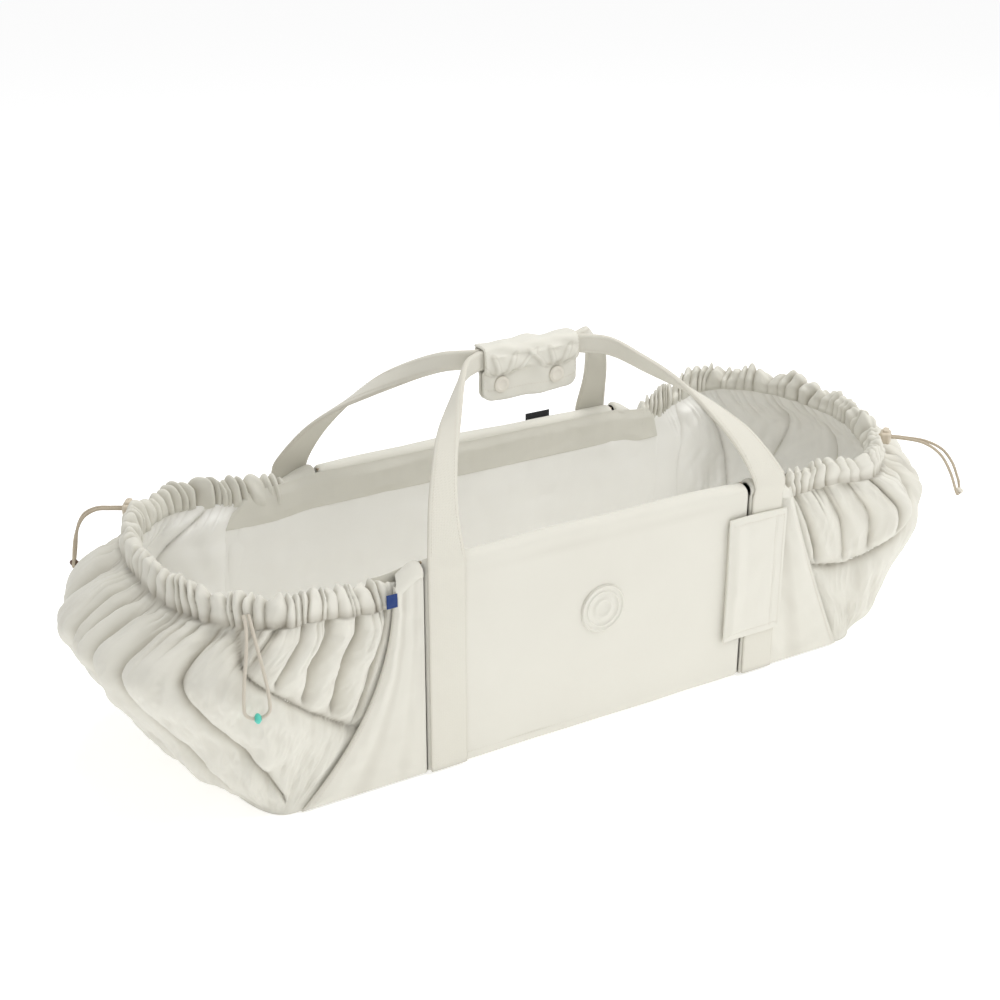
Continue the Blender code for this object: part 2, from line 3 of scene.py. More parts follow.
import bpy
import numpy as np
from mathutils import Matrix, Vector


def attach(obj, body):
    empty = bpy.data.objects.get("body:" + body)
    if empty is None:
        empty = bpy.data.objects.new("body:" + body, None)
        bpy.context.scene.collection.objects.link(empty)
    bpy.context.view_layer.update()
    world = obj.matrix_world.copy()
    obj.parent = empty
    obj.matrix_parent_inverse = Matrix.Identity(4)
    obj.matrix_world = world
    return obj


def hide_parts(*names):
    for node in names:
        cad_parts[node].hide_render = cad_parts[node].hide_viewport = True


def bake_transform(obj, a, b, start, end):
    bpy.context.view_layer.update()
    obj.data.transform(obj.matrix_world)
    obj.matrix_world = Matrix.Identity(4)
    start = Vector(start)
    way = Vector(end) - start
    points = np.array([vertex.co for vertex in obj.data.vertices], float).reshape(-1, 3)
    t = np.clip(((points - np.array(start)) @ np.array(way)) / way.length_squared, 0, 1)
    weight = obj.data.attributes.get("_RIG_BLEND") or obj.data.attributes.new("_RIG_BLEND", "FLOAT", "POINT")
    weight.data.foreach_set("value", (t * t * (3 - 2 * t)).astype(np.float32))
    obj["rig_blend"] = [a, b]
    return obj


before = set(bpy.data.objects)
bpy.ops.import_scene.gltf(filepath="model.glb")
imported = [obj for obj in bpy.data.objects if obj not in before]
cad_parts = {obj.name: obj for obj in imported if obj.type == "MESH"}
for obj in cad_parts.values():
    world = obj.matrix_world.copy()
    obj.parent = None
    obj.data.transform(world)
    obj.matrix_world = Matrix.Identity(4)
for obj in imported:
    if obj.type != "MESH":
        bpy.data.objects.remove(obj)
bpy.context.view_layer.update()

# ---- sizes, in metres
PANEL_HEIGHT = 0.210
PANEL_FACE_Y = 0.134
FAR_EDGE, NEAR_EDGE = 0.183, 0.168
SLIT = 0.004
SLIT_CLOSE = 0.0011            # how far the soft edges swell into each slit from either side
GAP = 0.0003
COVER_T = 0.004
INNER_Y = PANEL_FACE_Y - COVER_T - GAP
PANEL_INSIDE_Y = 0.1161
HEM_CLEAR = 0.002
HEM_BAND = 0.041
WING_DROP = 0.015
WING_FLARED = (0.214, 0.312, 2.4)
WING_STRAIGHT = (0.218, 0.300, 1.15)
WALL_T = 0.0136
WALL_TOP = 0.188
CASING_TOP = 0.212
BOWL_POWER = 2.6
SWELL_START = 0.35
REACH = [(0.0043, 0.352), (0.030, 0.386), (0.080, 0.419), (0.120, 0.445), (0.150, 0.450), (0.188, 0.400),
         (0.212, 0.378)]
SWELL = [(0.0043, 0.0), (0.030, 0.012), (0.080, 0.028), (0.120, 0.0352), (0.150, 0.0368), (0.188, 0.032),
         (0.212, 0.028)]
STRAP_W, STRAP_T = 0.037, 0.0025
GRIP_STRAP_H, GRIP_STRAP_T = 0.0185, 0.0056
GRIP_STRAP_Z = 0.3335
GRIP_HALF = 0.056
AXIS_Y, AXIS_Z = 0.13555, 0.21155
HINGE_Y = 0.1369
STRAP_PLACES = (-FAR_EDGE + STRAP_W / 2, NEAR_EDGE + SLIT + STRAP_W / 2)
FAR_LEG = [(0.07, 0.14, 0.307), (0.20, 0.304, 0.570), (0.355, 0.474, 0.754), (0.576, 0.694, 0.902),
           (0.797, 0.899, 0.984)]
NEAR_LEG = [(0.115, 0.126, 0.274), (0.264, 0.262, 0.492), (0.45, 0.452, 0.705), (0.643, 0.664, 0.865),
            (0.807, 0.876, 0.975)]
WRAP_LENGTH, WRAP_T, WRAP_BOTTOM = 0.104, 0.0028, 0.292
SNAP_Z, SNAP_X, SNAP_D = 0.3080, (-0.0325, 0.0285), 0.016
TAB_LEFT, TAB_RIGHT, TAB_LOW, TAB_HIGH = 0.143, 0.2135, 0.047, 0.178
CORD_D, STRAND_GAP = 0.003, 0.0021
BEAD_D, BEAD_LENGTH = 0.009, 0.0054


# ---- camera, floor and light
def look_at(obj, target):
    obj.rotation_euler = (Vector(target) - obj.location).to_track_quat("-Z", "Y").to_euler()


def build_studio():
    camera = bpy.data.objects.new("camera", bpy.data.cameras.new("camera"))
    camera.location = (-0.763, -1.228, 0.792)
    camera.rotation_euler = (pi / 2 - 0.400, 0.0, -0.538)
    camera.data.lens = 57.6
    camera.data.sensor_width = 36.0
    bpy.context.scene.collection.objects.link(camera)
    bpy.context.scene.camera = camera

    floor = bpy.data.meshes.new("floor")
    floor.from_pydata([(-9, -9, 0), (9, -9, 0), (9, 9, 0), (-9, 9, 0)], [], [(0, 1, 2, 3)])
    floor_obj = bpy.data.objects.new("floor", floor)
    bpy.context.scene.collection.objects.link(floor_obj)
    paper = bpy.data.materials.new("paper floor")
    paper.use_nodes = True
    shader = paper.node_tree.nodes["Principled BSDF"]
    shader.inputs["Base Color"].default_value = (0.93, 0.93, 0.93, 1)
    shader.inputs["Roughness"].default_value = 1.0
    shader.inputs["Specular IOR Level"].default_value = 0.0
    shader.inputs["Emission Color"].default_value = (1.0, 1.0, 1.0, 1)
    shader.inputs["Emission Strength"].default_value = 0.42
    floor.materials.append(paper)

    world = bpy.data.worlds.new("studio")
    world.use_nodes = True
    tree = world.node_tree
    tree.nodes["Background"].inputs["Color"].default_value = (1.0, 1.0, 1.0, 1)
    tree.nodes["Background"].inputs["Strength"].default_value = 0.58
    backdrop = tree.nodes.new("ShaderNodeBackground")
    backdrop.inputs["Color"].default_value = (1.0, 1.0, 1.0, 1)
    backdrop.inputs["Strength"].default_value = 1.0
    path, either = tree.nodes.new("ShaderNodeLightPath"), tree.nodes.new("ShaderNodeMixShader")
    tree.links.new(path.outputs["Is Camera Ray"], either.inputs[0])
    tree.links.new(tree.nodes["Background"].outputs["Background"], either.inputs[1])
    tree.links.new(backdrop.outputs["Background"], either.inputs[2])
    tree.links.new(either.outputs["Shader"], tree.nodes["World Output"].inputs["Surface"])
    bpy.context.scene.world = world
    lamps = (("key", (1.5, -1.1, 1.9), 1.2, 20.0), ("fill", (-1.9, -1.8, 1.5), 1.8, 5.0),
             ("top", (0.1, 0.15, 2.3), 1.0, 17.0))
    for name, place, size, power in lamps:
        lamp = bpy.data.lights.new(name, "AREA")
        lamp.size = size
        lamp.energy = power
        obj = bpy.data.objects.new(name, lamp)
        obj.location = place
        look_at(obj, (0, 0, 0.1))
        bpy.context.scene.collection.objects.link(obj)
    bpy.context.scene.view_settings.view_transform = "Standard"


# ---- materials
def math_node(tree, operation, first, second=None, clamp=False):
    node = tree.nodes.new("ShaderNodeMath")
    node.operation = operation
    node.use_clamp = clamp
    for socket, value in zip(node.inputs, (first, second)):
        if value is None:
            continue
        if isinstance(value, (int, float)):
            socket.default_value = value
        else:
            tree.links.new(value, socket)
    return node.outputs[0]


def mix_colour(tree, factor, first, second):
    """A colour mix; each colour is three numbers or another node's output."""
    node = tree.nodes.new("ShaderNodeMix")
    node.data_type = "RGBA"
    tree.links.new(factor, node.inputs[0])
    for socket, value in ((node.inputs[6], first), (node.inputs[7], second)):
        if isinstance(value, tuple):
            socket.default_value = (*value, 1)
        else:
            tree.links.new(value, socket)
    return node.outputs[2]


def weave_group():
    """Over and under threads from a UV in metres, with slubs; gives a height, and a tone mask that is part
    random wash and part painted shade between the threads.
    """
    tree = bpy.data.node_groups.new("weave", "ShaderNodeTree")
    for name, kind in (("UV", "NodeSocketVector"), ("Place", "NodeSocketVector"),
                       ("Threads", "NodeSocketFloat")):
        tree.interface.new_socket(name=name, in_out="INPUT", socket_type=kind)
    for name in ("Height", "Tint"):
        tree.interface.new_socket(name=name, in_out="OUTPUT", socket_type="NodeSocketFloat")
    given, result = tree.nodes.new("NodeGroupInput"), tree.nodes.new("NodeGroupOutput")
    split = tree.nodes.new("ShaderNodeSeparateXYZ")
    tree.links.new(given.outputs["UV"], split.inputs[0])
    u = math_node(tree, "MULTIPLY", split.outputs["X"], given.outputs["Threads"])
    v = math_node(tree, "MULTIPLY", split.outputs["Y"], given.outputs["Threads"])
    warp = math_node(tree, "ABSOLUTE", math_node(tree, "SINE", math_node(tree, "MULTIPLY", u, pi)))
    weft = math_node(tree, "ABSOLUTE", math_node(tree, "SINE", math_node(tree, "MULTIPLY", v, pi)))
    cells = math_node(tree, "ADD", math_node(tree, "FLOOR", u), math_node(tree, "FLOOR", v))
    half = math_node(tree, "FRACT", math_node(tree, "MULTIPLY", cells, 0.5))
    parity = math_node(tree, "MULTIPLY", half, 2.0)
    over = math_node(tree, "MULTIPLY", warp, parity)
    under = math_node(tree, "MULTIPLY", weft, math_node(tree, "SUBTRACT", 1.0, parity))
    height = math_node(tree, "ADD", over, under)
    slub = tree.nodes.new("ShaderNodeTexNoise")
    slub.inputs["Scale"].default_value = 260.0
    slub.inputs["Detail"].default_value = 3.0
    tree.links.new(given.outputs["Place"], slub.inputs["Vector"])
    rough_height = math_node(tree, "ADD", height, math_node(tree, "MULTIPLY", slub.outputs["Fac"], 0.7))
    wash = tree.nodes.new("ShaderNodeTexNoise")
    wash.inputs["Scale"].default_value = 14.0
    wash.inputs["Detail"].default_value = 4.0
    tree.links.new(given.outputs["Place"], wash.inputs["Vector"])
    # Painted shade between the threads: low thread height gives the darker tone. It is mixed with a random
    # wash of tone, which is the cloth's own.
    tone_and_shade = math_node(tree, "MULTIPLY", math_node(tree, "ADD", math_node(tree, "MULTIPLY", height, 0.35),
                                                 math_node(tree, "MULTIPLY", wash.outputs["Fac"], 0.65)), 1.0)
    tree.links.new(rough_height, result.inputs["Height"])
    tree.links.new(tone_and_shade, result.inputs["Tint"])
    return tree


def woven(name, light, dark, crease_shade, threads, depth, roughness=0.88, sheen=0.25):
    """Woven cloth: two close tones, with painted shade between the threads, a darker and greyer painted shade
    in creases, thread relief and soft rumples.
    """
    mat = bpy.data.materials.new(name)
    mat.use_nodes = True
    tree = mat.node_tree
    shader = tree.nodes["Principled BSDF"]
    uv, place = tree.nodes.new("ShaderNodeUVMap"), tree.nodes.new("ShaderNodeTexCoord")
    uv.uv_map = "UVMap"
    weave = tree.nodes.new("ShaderNodeGroup")
    weave.node_tree = bpy.data.node_groups.get("weave") or weave_group()
    tree.links.new(uv.outputs["UV"], weave.inputs["UV"])
    tree.links.new(place.outputs["Object"], weave.inputs["Place"])
    weave.inputs["Threads"].default_value = threads
    # Painted shade: the point attribute read below mixes the cloth towards a darker, greyer colour in seams,
    # folds and creases.
    fold = tree.nodes.new("ShaderNodeAttribute")
    fold.attribute_name = "crease_shade"
    tone = mix_colour(tree, weave.outputs["Tint"], dark, light)
    tree.links.new(mix_colour(tree, fold.outputs["Fac"], tone, crease_shade), shader.inputs["Base Color"])
    worn = math_node(tree, "ADD", math_node(tree, "MULTIPLY", weave.outputs["Tint"], 0.10), roughness - 0.06,
                     clamp=True)
    tree.links.new(worn, shader.inputs["Roughness"])
    rumple = tree.nodes.new("ShaderNodeTexNoise")
    rumple.inputs["Scale"].default_value = 38.0
    rumple.inputs["Detail"].default_value = 2.0
    tree.links.new(place.outputs["Object"], rumple.inputs["Vector"])
    soft = tree.nodes.new("ShaderNodeBump")
    soft.inputs["Strength"].default_value = 0.35
    soft.inputs["Distance"].default_value = 0.0016
    tree.links.new(rumple.outputs["Fac"], soft.inputs["Height"])
    fine = tree.nodes.new("ShaderNodeBump")
    fine.inputs["Strength"].default_value = 0.5
    fine.inputs["Distance"].default_value = depth
    tree.links.new(weave.outputs["Height"], fine.inputs["Height"])
    tree.links.new(soft.outputs["Normal"], fine.inputs["Normal"])
    tree.links.new(fine.outputs["Normal"], shader.inputs["Normal"])
    shader.inputs["Sheen Weight"].default_value = sheen
    shader.inputs["Sheen Roughness"].default_value = 0.5
    shader.inputs["Specular IOR Level"].default_value = 0.25
    return mat


def moulded(name, colour, roughness, grain=900.0):
    """Moulded plastic with a fine grain, faint wear and a soft shine."""
    mat = bpy.data.materials.new(name)
    mat.use_nodes = True
    tree = mat.node_tree
    shader = tree.nodes["Principled BSDF"]
    place = tree.nodes.new("ShaderNodeTexCoord")
    noise = tree.nodes.new("ShaderNodeTexNoise")
    noise.inputs["Scale"].default_value = grain
    wear = tree.nodes.new("ShaderNodeTexNoise")
    wear.inputs["Scale"].default_value = 120.0
    for node in (noise, wear):
        tree.links.new(place.outputs["Object"], node.inputs["Vector"])
    tone = mix_colour(tree, wear.outputs["Fac"], tuple(c * 0.86 for c in colour), colour)
    tree.links.new(tone, shader.inputs["Base Color"])
    tree.links.new(math_node(tree, "ADD", math_node(tree, "MULTIPLY", wear.outputs["Fac"], 0.15), roughness),
                   shader.inputs["Roughness"])
    bump = tree.nodes.new("ShaderNodeBump")
    bump.inputs["Strength"].default_value = 0.25
    bump.inputs["Distance"].default_value = 0.0001
    tree.links.new(noise.outputs["Fac"], bump.inputs["Height"])
    tree.links.new(bump.outputs["Normal"], shader.inputs["Normal"])
    return mat


def fibreboard():
    mat = bpy.data.materials.new("fibreboard")
    mat.use_nodes = True
    tree = mat.node_tree
    shader = tree.nodes["Principled BSDF"]
    place = tree.nodes.new("ShaderNodeTexCoord")
    chips = tree.nodes.new("ShaderNodeTexVoronoi")
    chips.inputs["Scale"].default_value = 350.0
    tree.links.new(place.outputs["Object"], chips.inputs["Vector"])
    tone = mix_colour(tree, chips.outputs["Distance"], (0.36, 0.28, 0.19), (0.50, 0.41, 0.30))
    tree.links.new(tone, shader.inputs["Base Color"])
    shader.inputs["Roughness"].default_value = 0.85
    bump = tree.nodes.new("ShaderNodeBump")
    bump.inputs["Distance"].default_value = 0.0003
    tree.links.new(chips.outputs["Distance"], bump.inputs["Height"])
    tree.links.new(bump.outputs["Normal"], shader.inputs["Normal"])
    return mat


# Each woven material gives a light tone, a dark tone, then the colour of its painted shade in creases and
# seams.
CREAM = (0.755, 0.738, 0.660)
COTTON = woven("cotton canvas", CREAM, (0.705, 0.685, 0.608), (0.37, 0.335, 0.265), 1250.0, 0.00016)
LINING = woven("white lining", (0.95, 0.94, 0.895), (0.91, 0.90, 0.855), (0.62, 0.585, 0.52), 1500.0, 0.0001,
               sheen=0.35)
WEBBING = woven("cotton webbing", (0.735, 0.712, 0.630), (0.67, 0.648, 0.565), (0.42, 0.37, 0.29), 720.0,
                0.0003)
NAVY = woven("navy ribbon", (0.02, 0.055, 0.22), (0.012, 0.035, 0.14), (0.01, 0.02, 0.08), 1800.0, 0.0001)
BLACK = woven("black ribbon", (0.025, 0.027, 0.03), (0.015, 0.016, 0.018), (0.005, 0.005, 0.005), 1800.0,
              0.0001)
CORD = woven("braided cord", (0.60, 0.52, 0.40), (0.50, 0.42, 0.31), (0.25, 0.2, 0.14), 1100.0, 0.0004)
PALE_CORD = woven("pale braided cord", (0.72, 0.66, 0.56), (0.62, 0.56, 0.46), (0.3, 0.25, 0.18), 1100.0,
                  0.0004)
THREAD = woven("sewing thread", (0.74, 0.70, 0.62), (0.66, 0.62, 0.54), (0.4, 0.36, 0.3), 4000.0, 0.00005)
BEIGE_PLASTIC = moulded("beige plastic", (0.66, 0.58, 0.46), 0.38)
SNAP_PLASTIC = moulded("cream plastic", (0.76, 0.72, 0.63), 0.42)
MINT_PLASTIC = moulded("mint plastic", (0.10, 0.62, 0.50), 0.22)
BROWN_PLASTIC = moulded("brown plastic", (0.12, 0.065, 0.035), 0.3)
BOARD = fibreboard()


# ---- shape helpers
def smooth(t):
    t = np.clip(t, 0, 1)
    return t * t * (3 - 2 * t)


def ramp(x, low, high):
    return smooth((np.asarray(x) - low) / (high - low))


def curve(table, x):
    """Smooth curve through (place, value) pairs."""
    places, values = (np.array(column, float) for column in zip(*table))
    slopes = np.gradient(values, places)
    x = np.clip(x, places[0], places[-1])
    i = np.clip(np.searchsorted(places, x) - 1, 0, len(places) - 2)
    span = places[i + 1] - places[i]
    t = (x - places[i]) / span
    return ((2 * t ** 3 - 3 * t ** 2 + 1) * values[i] + (t ** 3 - 2 * t ** 2 + t) * span * slopes[i]
            + (-2 * t ** 3 + 3 * t ** 2) * values[i + 1] + (t ** 3 - t ** 2) * span * slopes[i + 1])


def ripple(seed, a, b, scale, count=7):
    """Smooth irregular waves about zero, of roughly unit height."""
    rng = np.random.RandomState(seed)
    total = 0.0
    for _ in range(count):
        angle, wave, phase = rng.uniform(0, 2 * pi), rng.uniform(0.6, 1.7), rng.uniform(0, 2 * pi)
        total = total + np.sin(2 * pi / (scale * wave) * (a * cos(angle) + b * sin(angle)) + phase)
    return total / count ** 0.5


def spaced(seed, length, spacing, jitter=0.35):
    """Irregular places from 0 to length."""
    rng = np.random.RandomState(seed)
    steps = spacing * rng.uniform(1 - jitter, 1 + jitter, int(length / spacing) + 1)
    places = np.concatenate([[0.0], np.cumsum(steps)])
    return places * length / places[-1]


def tubes(position, places, sharpness=0.6):
    """Rounded tubes between creases at the given places: 0 at a crease, 1 on a crown."""
    phase = np.interp(position, places, np.arange(len(places)))
    return np.abs(np.sin(pi * phase)) ** sharpness


def per_tube(seed, position, places, low, high):
    """A smooth random value for each place, between low and high."""
    rng = np.random.RandomState(seed)
    return np.interp(position, places, rng.uniform(low, high, len(places)))


def smooth_line(points, count=22):
    """Evenly parametrised smooth curve through a few points of any dimension."""
    points = np.array(points, float)
    if len(points) == 2:
        return points[0] + (points[1] - points[0]) * np.linspace(0, 1, count)[:, None]
    padded = np.vstack([2 * points[0] - points[1], points, 2 * points[-1] - points[-2]])
    t = np.linspace(0, len(points) - 1, count)
    k = np.minimum(t.astype(int), len(points) - 2)
    f = (t - k)[:, None]
    a, b, c, d = (padded[k + n] for n in range(4))
    return 0.5 * (2 * b + (c - a) * f + (2 * a - 5 * b + 4 * c - d) * f ** 2
                  + (3 * b - a - 3 * c + d) * f ** 3)


def crease_distance(a, b, lines, fade=0.2):
    """Distance to the nearest seam or fold line. Each line is (points, fades at start, fades at end)."""
    nearest = np.full(np.broadcast(a, b).shape, 1.0)
    for points, open_start, open_end in lines:
        route = smooth_line(points)
        t = np.linspace(0, 1, len(route))
        strength = np.ones(len(route))
        if open_start:
            strength *= ramp(t, -0.02, fade)
        if open_end:
            strength *= ramp(1 - t, -0.02, fade)
        for p, q, s0, s1 in zip(route, route[1:], strength, strength[1:]):
            d = q - p
            share = np.clip(((a - p[0]) * d[0] + (b - p[1]) * d[1]) / max(d @ d, 1e-12), 0, 1)
            away = np.hypot(a - p[0] - d[0] * share, b - p[1] - d[1] * share)
            nearest = np.minimum(nearest, away / np.maximum(s0 + (s1 - s0) * share, 0.04))
    return nearest


def pillow(distance, reach):
    """Cross-section of a stuffed puff: 0 on the seam, 1 beyond reach."""
    t = np.clip(distance / reach, 0, 1)
    return np.sqrt(1 - (1 - t) ** 2)


def skin(name, grid, material, closed_u=False, closed_v=False, caps=False, crease_shade=None):
    """Mesh from a grid of points (u, v, xyz), with a UV in metres and a point attribute for the painted shade
    in creases.
    """
    grid = np.asarray(grid, float)
    nu, nv = grid.shape[:2]
    index = np.arange(nu * nv).reshape(nu, nv)
    iu = np.arange(nu + 1 if closed_u else nu)
    iv = np.arange(nv + 1 if closed_v else nv)
    wide = grid[iu % nu][:, iv % nv]
    step_u = np.linalg.norm(np.diff(wide, axis=0), axis=2).mean(axis=1)
    step_v = np.linalg.norm(np.diff(wide, axis=1), axis=2).mean(axis=0)
    at_u = np.concatenate([[0], np.cumsum(step_u)])
    at_v = np.concatenate([[0], np.cumsum(step_v)])
    corner = index[iu % nu][:, iv % nv]
    faces = np.stack([corner[:-1, :-1], corner[1:, :-1], corner[1:, 1:], corner[:-1, 1:]], -1).reshape(-1, 4)
    ku, kv = np.meshgrid(np.arange(len(iu) - 1), np.arange(len(iv) - 1), indexing="ij")
    ku, kv = ku.ravel(), kv.ravel()
    around = ((0, 0), (1, 0), (1, 1), (0, 1))
    uvs = np.stack([np.stack([at_u[ku + a], at_v[kv + b]], -1) for a, b in around], 1)
    points = grid.reshape(-1, 3)
    faces, uvs = [list(f) for f in faces.tolist()], uvs.reshape(-1, 2).tolist()
    extra = []
    if caps:
        for end in (0, nu - 1):
            ring = corner[end][:nv]
            centre = len(points) + len(extra)
            extra.append(grid[end].mean(axis=0))
            for k in range(nv):
                a, b = int(ring[k]), int(ring[(k + 1) % nv])
                faces.append([b, a, centre] if end == 0 else [a, b, centre])
                uvs += [(at_v[k], 0.0), (at_v[k] + 0.001, 0.0), (at_v[k], 0.001)]
    if extra:
        points = np.vstack([points, np.array(extra)])
    tri = np.array([[f[0], f[n], f[n + 1]] for f in faces for n in range(1, len(f) - 1)])
    corners = points[tri]
    volume = np.einsum("ij,ij->i", corners[:, 0], np.cross(corners[:, 1], corners[:, 2])).sum()
    if volume < 0:
        order = 0
        flipped = []
        for f in faces:
            flipped += uvs[order:order + len(f)][::-1]
            order += len(f)
        faces = [f[::-1] for f in faces]
        uvs = flipped
    mesh = bpy.data.meshes.new(name)
    mesh.from_pydata(points.tolist(), [], faces)
    layer = mesh.uv_layers.new(name="UVMap")
    layer.data.foreach_set("uv", np.array(uvs, np.float32).ravel())
    # How much painted shade each point gets in creases; zero on the cap centres.
    amount = np.zeros(len(points), np.float32)
    if crease_shade is not None:
        amount[:nu * nv] = np.clip(crease_shade, 0, 1).ravel()
    mesh.attributes.new("crease_shade", "FLOAT", "POINT").data.foreach_set("value", amount)
    mesh.shade_smooth()
    mesh.materials.append(material)
    obj = bpy.data.objects.new(name, mesh)
    bpy.context.scene.collection.objects.link(obj)
    return obj


def out_of_step(count, low, high, power=1.0):
    """Places from low to high, closer together at both ends when power is above 1."""
    t = np.linspace(-1, 1, count)
    t = np.sign(t) * (1 - (1 - np.abs(t)) ** power)
    return low + (high - low) * (t + 1) / 2


def turned(side, points):
    """Front points as they are for side -1, turned half a turn about +Z for side +1."""
    points = np.array(points, float)
    if side > 0:
        points[..., 0] *= -1
        points[..., 1] *= -1
    return points


def word_of(side):
    return "front" if side < 0 else "back"


STITCH_LINES = {}


def stitch(body, points, outward, lift=0.0):
    """Keeps a line of stitches for later: its points, moved out of the cloth by lift along the given way out.
    """
    points = np.array(points, float)
    STITCH_LINES.setdefault(body, []).append(points + np.array(outward, float) * lift)


# ---- plan of the bowls
def wing_edge(flared, z):
    top, bottom, power = WING_FLARED if flared else WING_STRAIGHT
    return top + (bottom - top) * (1 - np.clip(z, 0, PANEL_HEIGHT) / PANEL_HEIGHT) ** power


def plan_point(end, side, turn, z, inset):
    """A bowl's plan: turn 0 to 1 along the straight flank, 1 to 2 round to the far end."""
    flared = end == side
    start = (FAR_EDGE if flared else NEAR_EDGE) + SLIT
    shoulder = wing_edge(flared, z) + 0.001
    reach, swell, half = curve(REACH, z) - inset, curve(SWELL, z), INNER_Y - inset
    angle = np.clip(turn - 1, 0, 1) * pi / 2
    share = smooth((turn - 1) / SWELL_START)
    width = half + swell * share
    across = np.where(turn < 1, half, width * np.maximum(np.cos(angle), 0) ** (2 / BOWL_POWER))
    along = np.where(turn < 1, start + (shoulder - start) * np.clip(turn, 0, 1),
                     shoulder + (reach - shoulder) * np.sin(angle) ** (2 / BOWL_POWER))
    return end * along, side * across


def turn_table(end, side):
    turn = np.linspace(0, 2, 600)
    x, y = plan_point(end, side, turn, np.full_like(turn, 0.13), 0.0)
    return turn, np.concatenate([[0], np.cumsum(np.hypot(np.diff(x), np.diff(y)))])


def bowl_surface(end, s, z, inset):
    """Points round a bowl, s metres from the front slit, and the length of the whole way."""
    (turn_front, way_front), (turn_back, way_back) = turn_table(end, -1), turn_table(end, 1)
    tip, whole = way_front[-1], way_front[-1] + way_back[-1]
    s, z = np.broadcast_arrays(np.asarray(s, float), np.asarray(z, float))
    front = plan_point(end, -1, np.interp(s, way_front, turn_front), z, inset)
    back = plan_point(end, 1, np.interp(whole - s, way_back, turn_back), z, inset)
    before = s <= tip
    x, y = (np.where(before, front[n], back[n]) for n in (0, 1))
    return np.stack([x, y, z], -1), tip, whole


def grid_normals(grid):
    du, dv = np.gradient(grid, axis=0), np.gradient(grid, axis=1)
    normal = np.cross(du, dv)
    return normal / np.maximum(np.linalg.norm(normal, axis=2, keepdims=True), 1e-9)


# ---- bowls. Seams and creases as (metres from the front slit, height), then whether each end fades out
LEFT_FOLD = [(0.216, 0.188), (0.168, 0.148), (0.128, 0.114), (0.095, 0.090), (0.06, 0.074), (0.02, 0.060)]
LEFT_BACK_FOLD = [(0.545, 0.188), (0.60, 0.140), (0.645, 0.105), (0.69, 0.075), (0.72, 0.05)]
RIGHT_FOLD = [(0.020, 0.112), (0.075, 0.098), (0.125, 0.092), (0.175, 0.108), (0.215, 0.140), (0.252, 0.188)]
RIGHT_BACK_FOLD = [(0.51, 0.188), (0.565, 0.125), (0.61, 0.10), (0.66, 0.09), (0.71, 0.10)]
LEFT_SEAMS = [
    (LEFT_FOLD, False, False), (LEFT_BACK_FOLD, False, False),
    ([(0.232, 0.188), (0.228, 0.150), (0.205, 0.095), (0.165, 0.050), (0.115, 0.012)], False, True),
    ([(0.282, 0.188), (0.284, 0.140), (0.266, 0.085), (0.235, 0.040), (0.205, 0.008)], False, True),
    ([(0.322, 0.188), (0.328, 0.130), (0.318, 0.080), (0.298, 0.035), (0.285, 0.008)], False, True),
    ([(0.372, 0.188), (0.382, 0.130), (0.384, 0.080), (0.372, 0.035), (0.362, 0.008)], False, True),
    ([(0.425, 0.188), (0.438, 0.140), (0.446, 0.085), (0.440, 0.040), (0.432, 0.010)], False, True),
    ([(0.480, 0.188), (0.492, 0.130), (0.505, 0.080), (0.512, 0.035)], False, True),
    ([(0.530, 0.188), (0.546, 0.130), (0.566, 0.080), (0.585, 0.030)], False, True),
    ([(0.348, 0.188), (0.353, 0.155), (0.354, 0.120)], False, True),
    ([(0.505, 0.188), (0.517, 0.155), (0.524, 0.125)], False, True),
]
RIGHT_SEAMS = [
    (RIGHT_FOLD, False, False), (RIGHT_BACK_FOLD, False, False),
    ([(0.262, 0.188), (0.262, 0.130), (0.245, 0.070), (0.222, 0.020)], False, True),
    ([(0.308, 0.188), (0.314, 0.130), (0.308, 0.075), (0.292, 0.020)], False, True),
    ([(0.352, 0.188), (0.362, 0.130), (0.364, 0.080), (0.356, 0.020)], False, True),
    ([(0.402, 0.188), (0.410, 0.130), (0.416, 0.080), (0.418, 0.020)], False, True),
    ([(0.452, 0.188), (0.462, 0.130), (0.474, 0.080), (0.486, 0.020)], False, True),
    ([(0.500, 0.188), (0.512, 0.140), (0.530, 0.085), (0.555, 0.025)], False, True),
    ([(0.285, 0.188), (0.288, 0.160), (0.287, 0.130)], False, True),
    ([(0.378, 0.188), (0.385, 0.160), (0.388, 0.125)], False, True),
]
INNER_SEAMS = [
    ([(0.045, 0.19), (0.060, 0.10), (0.085, 0.03)], False, False),
    ([(0.135, 0.19), (0.110, 0.10), (0.085, 0.03)], False, False),
    ([(0.170, 0.19), (0.195, 0.11), (0.230, 0.03)], False, False),
    ([(0.285, 0.19), (0.260, 0.11), (0.230, 0.03)], False, False),
    ([(0.315, 0.19), (0.345, 0.11), (0.375, 0.03)], False, False),
    ([(0.435, 0.19), (0.408, 0.11), (0.375, 0.03)], False, False),
    ([(0.470, 0.19), (0.498, 0.11), (0.530, 0.03)], False, False),
    ([(0.590, 0.19), (0.560, 0.11), (0.530, 0.03)], False, False),
    ([(0.625, 0.19), (0.650, 0.10), (0.680, 0.03)], False, False),
    ([(0.730, 0.19), (0.710, 0.10), (0.680, 0.03)], False, False),
]
BOWLS = {
    -1: {"word": "left", "seams": LEFT_SEAMS, "folds": (LEFT_FOLD, LEFT_BACK_FOLD), "seed": 11},
    1: {"word": "right", "seams": RIGHT_SEAMS, "folds": (RIGHT_FOLD, RIGHT_BACK_FOLD), "seed": 29},
}
BOWL_COLUMNS = 700
PUFF_HEIGHT, PUFF_REACH = 0.0125, 0.024
TUBE_SPACING, TUBE_HEIGHT = 0.033, 0.0125
PLEAT_SPACING = 0.0125
CASING_FULLNESS = 0.0068
HEMMED = 0.046


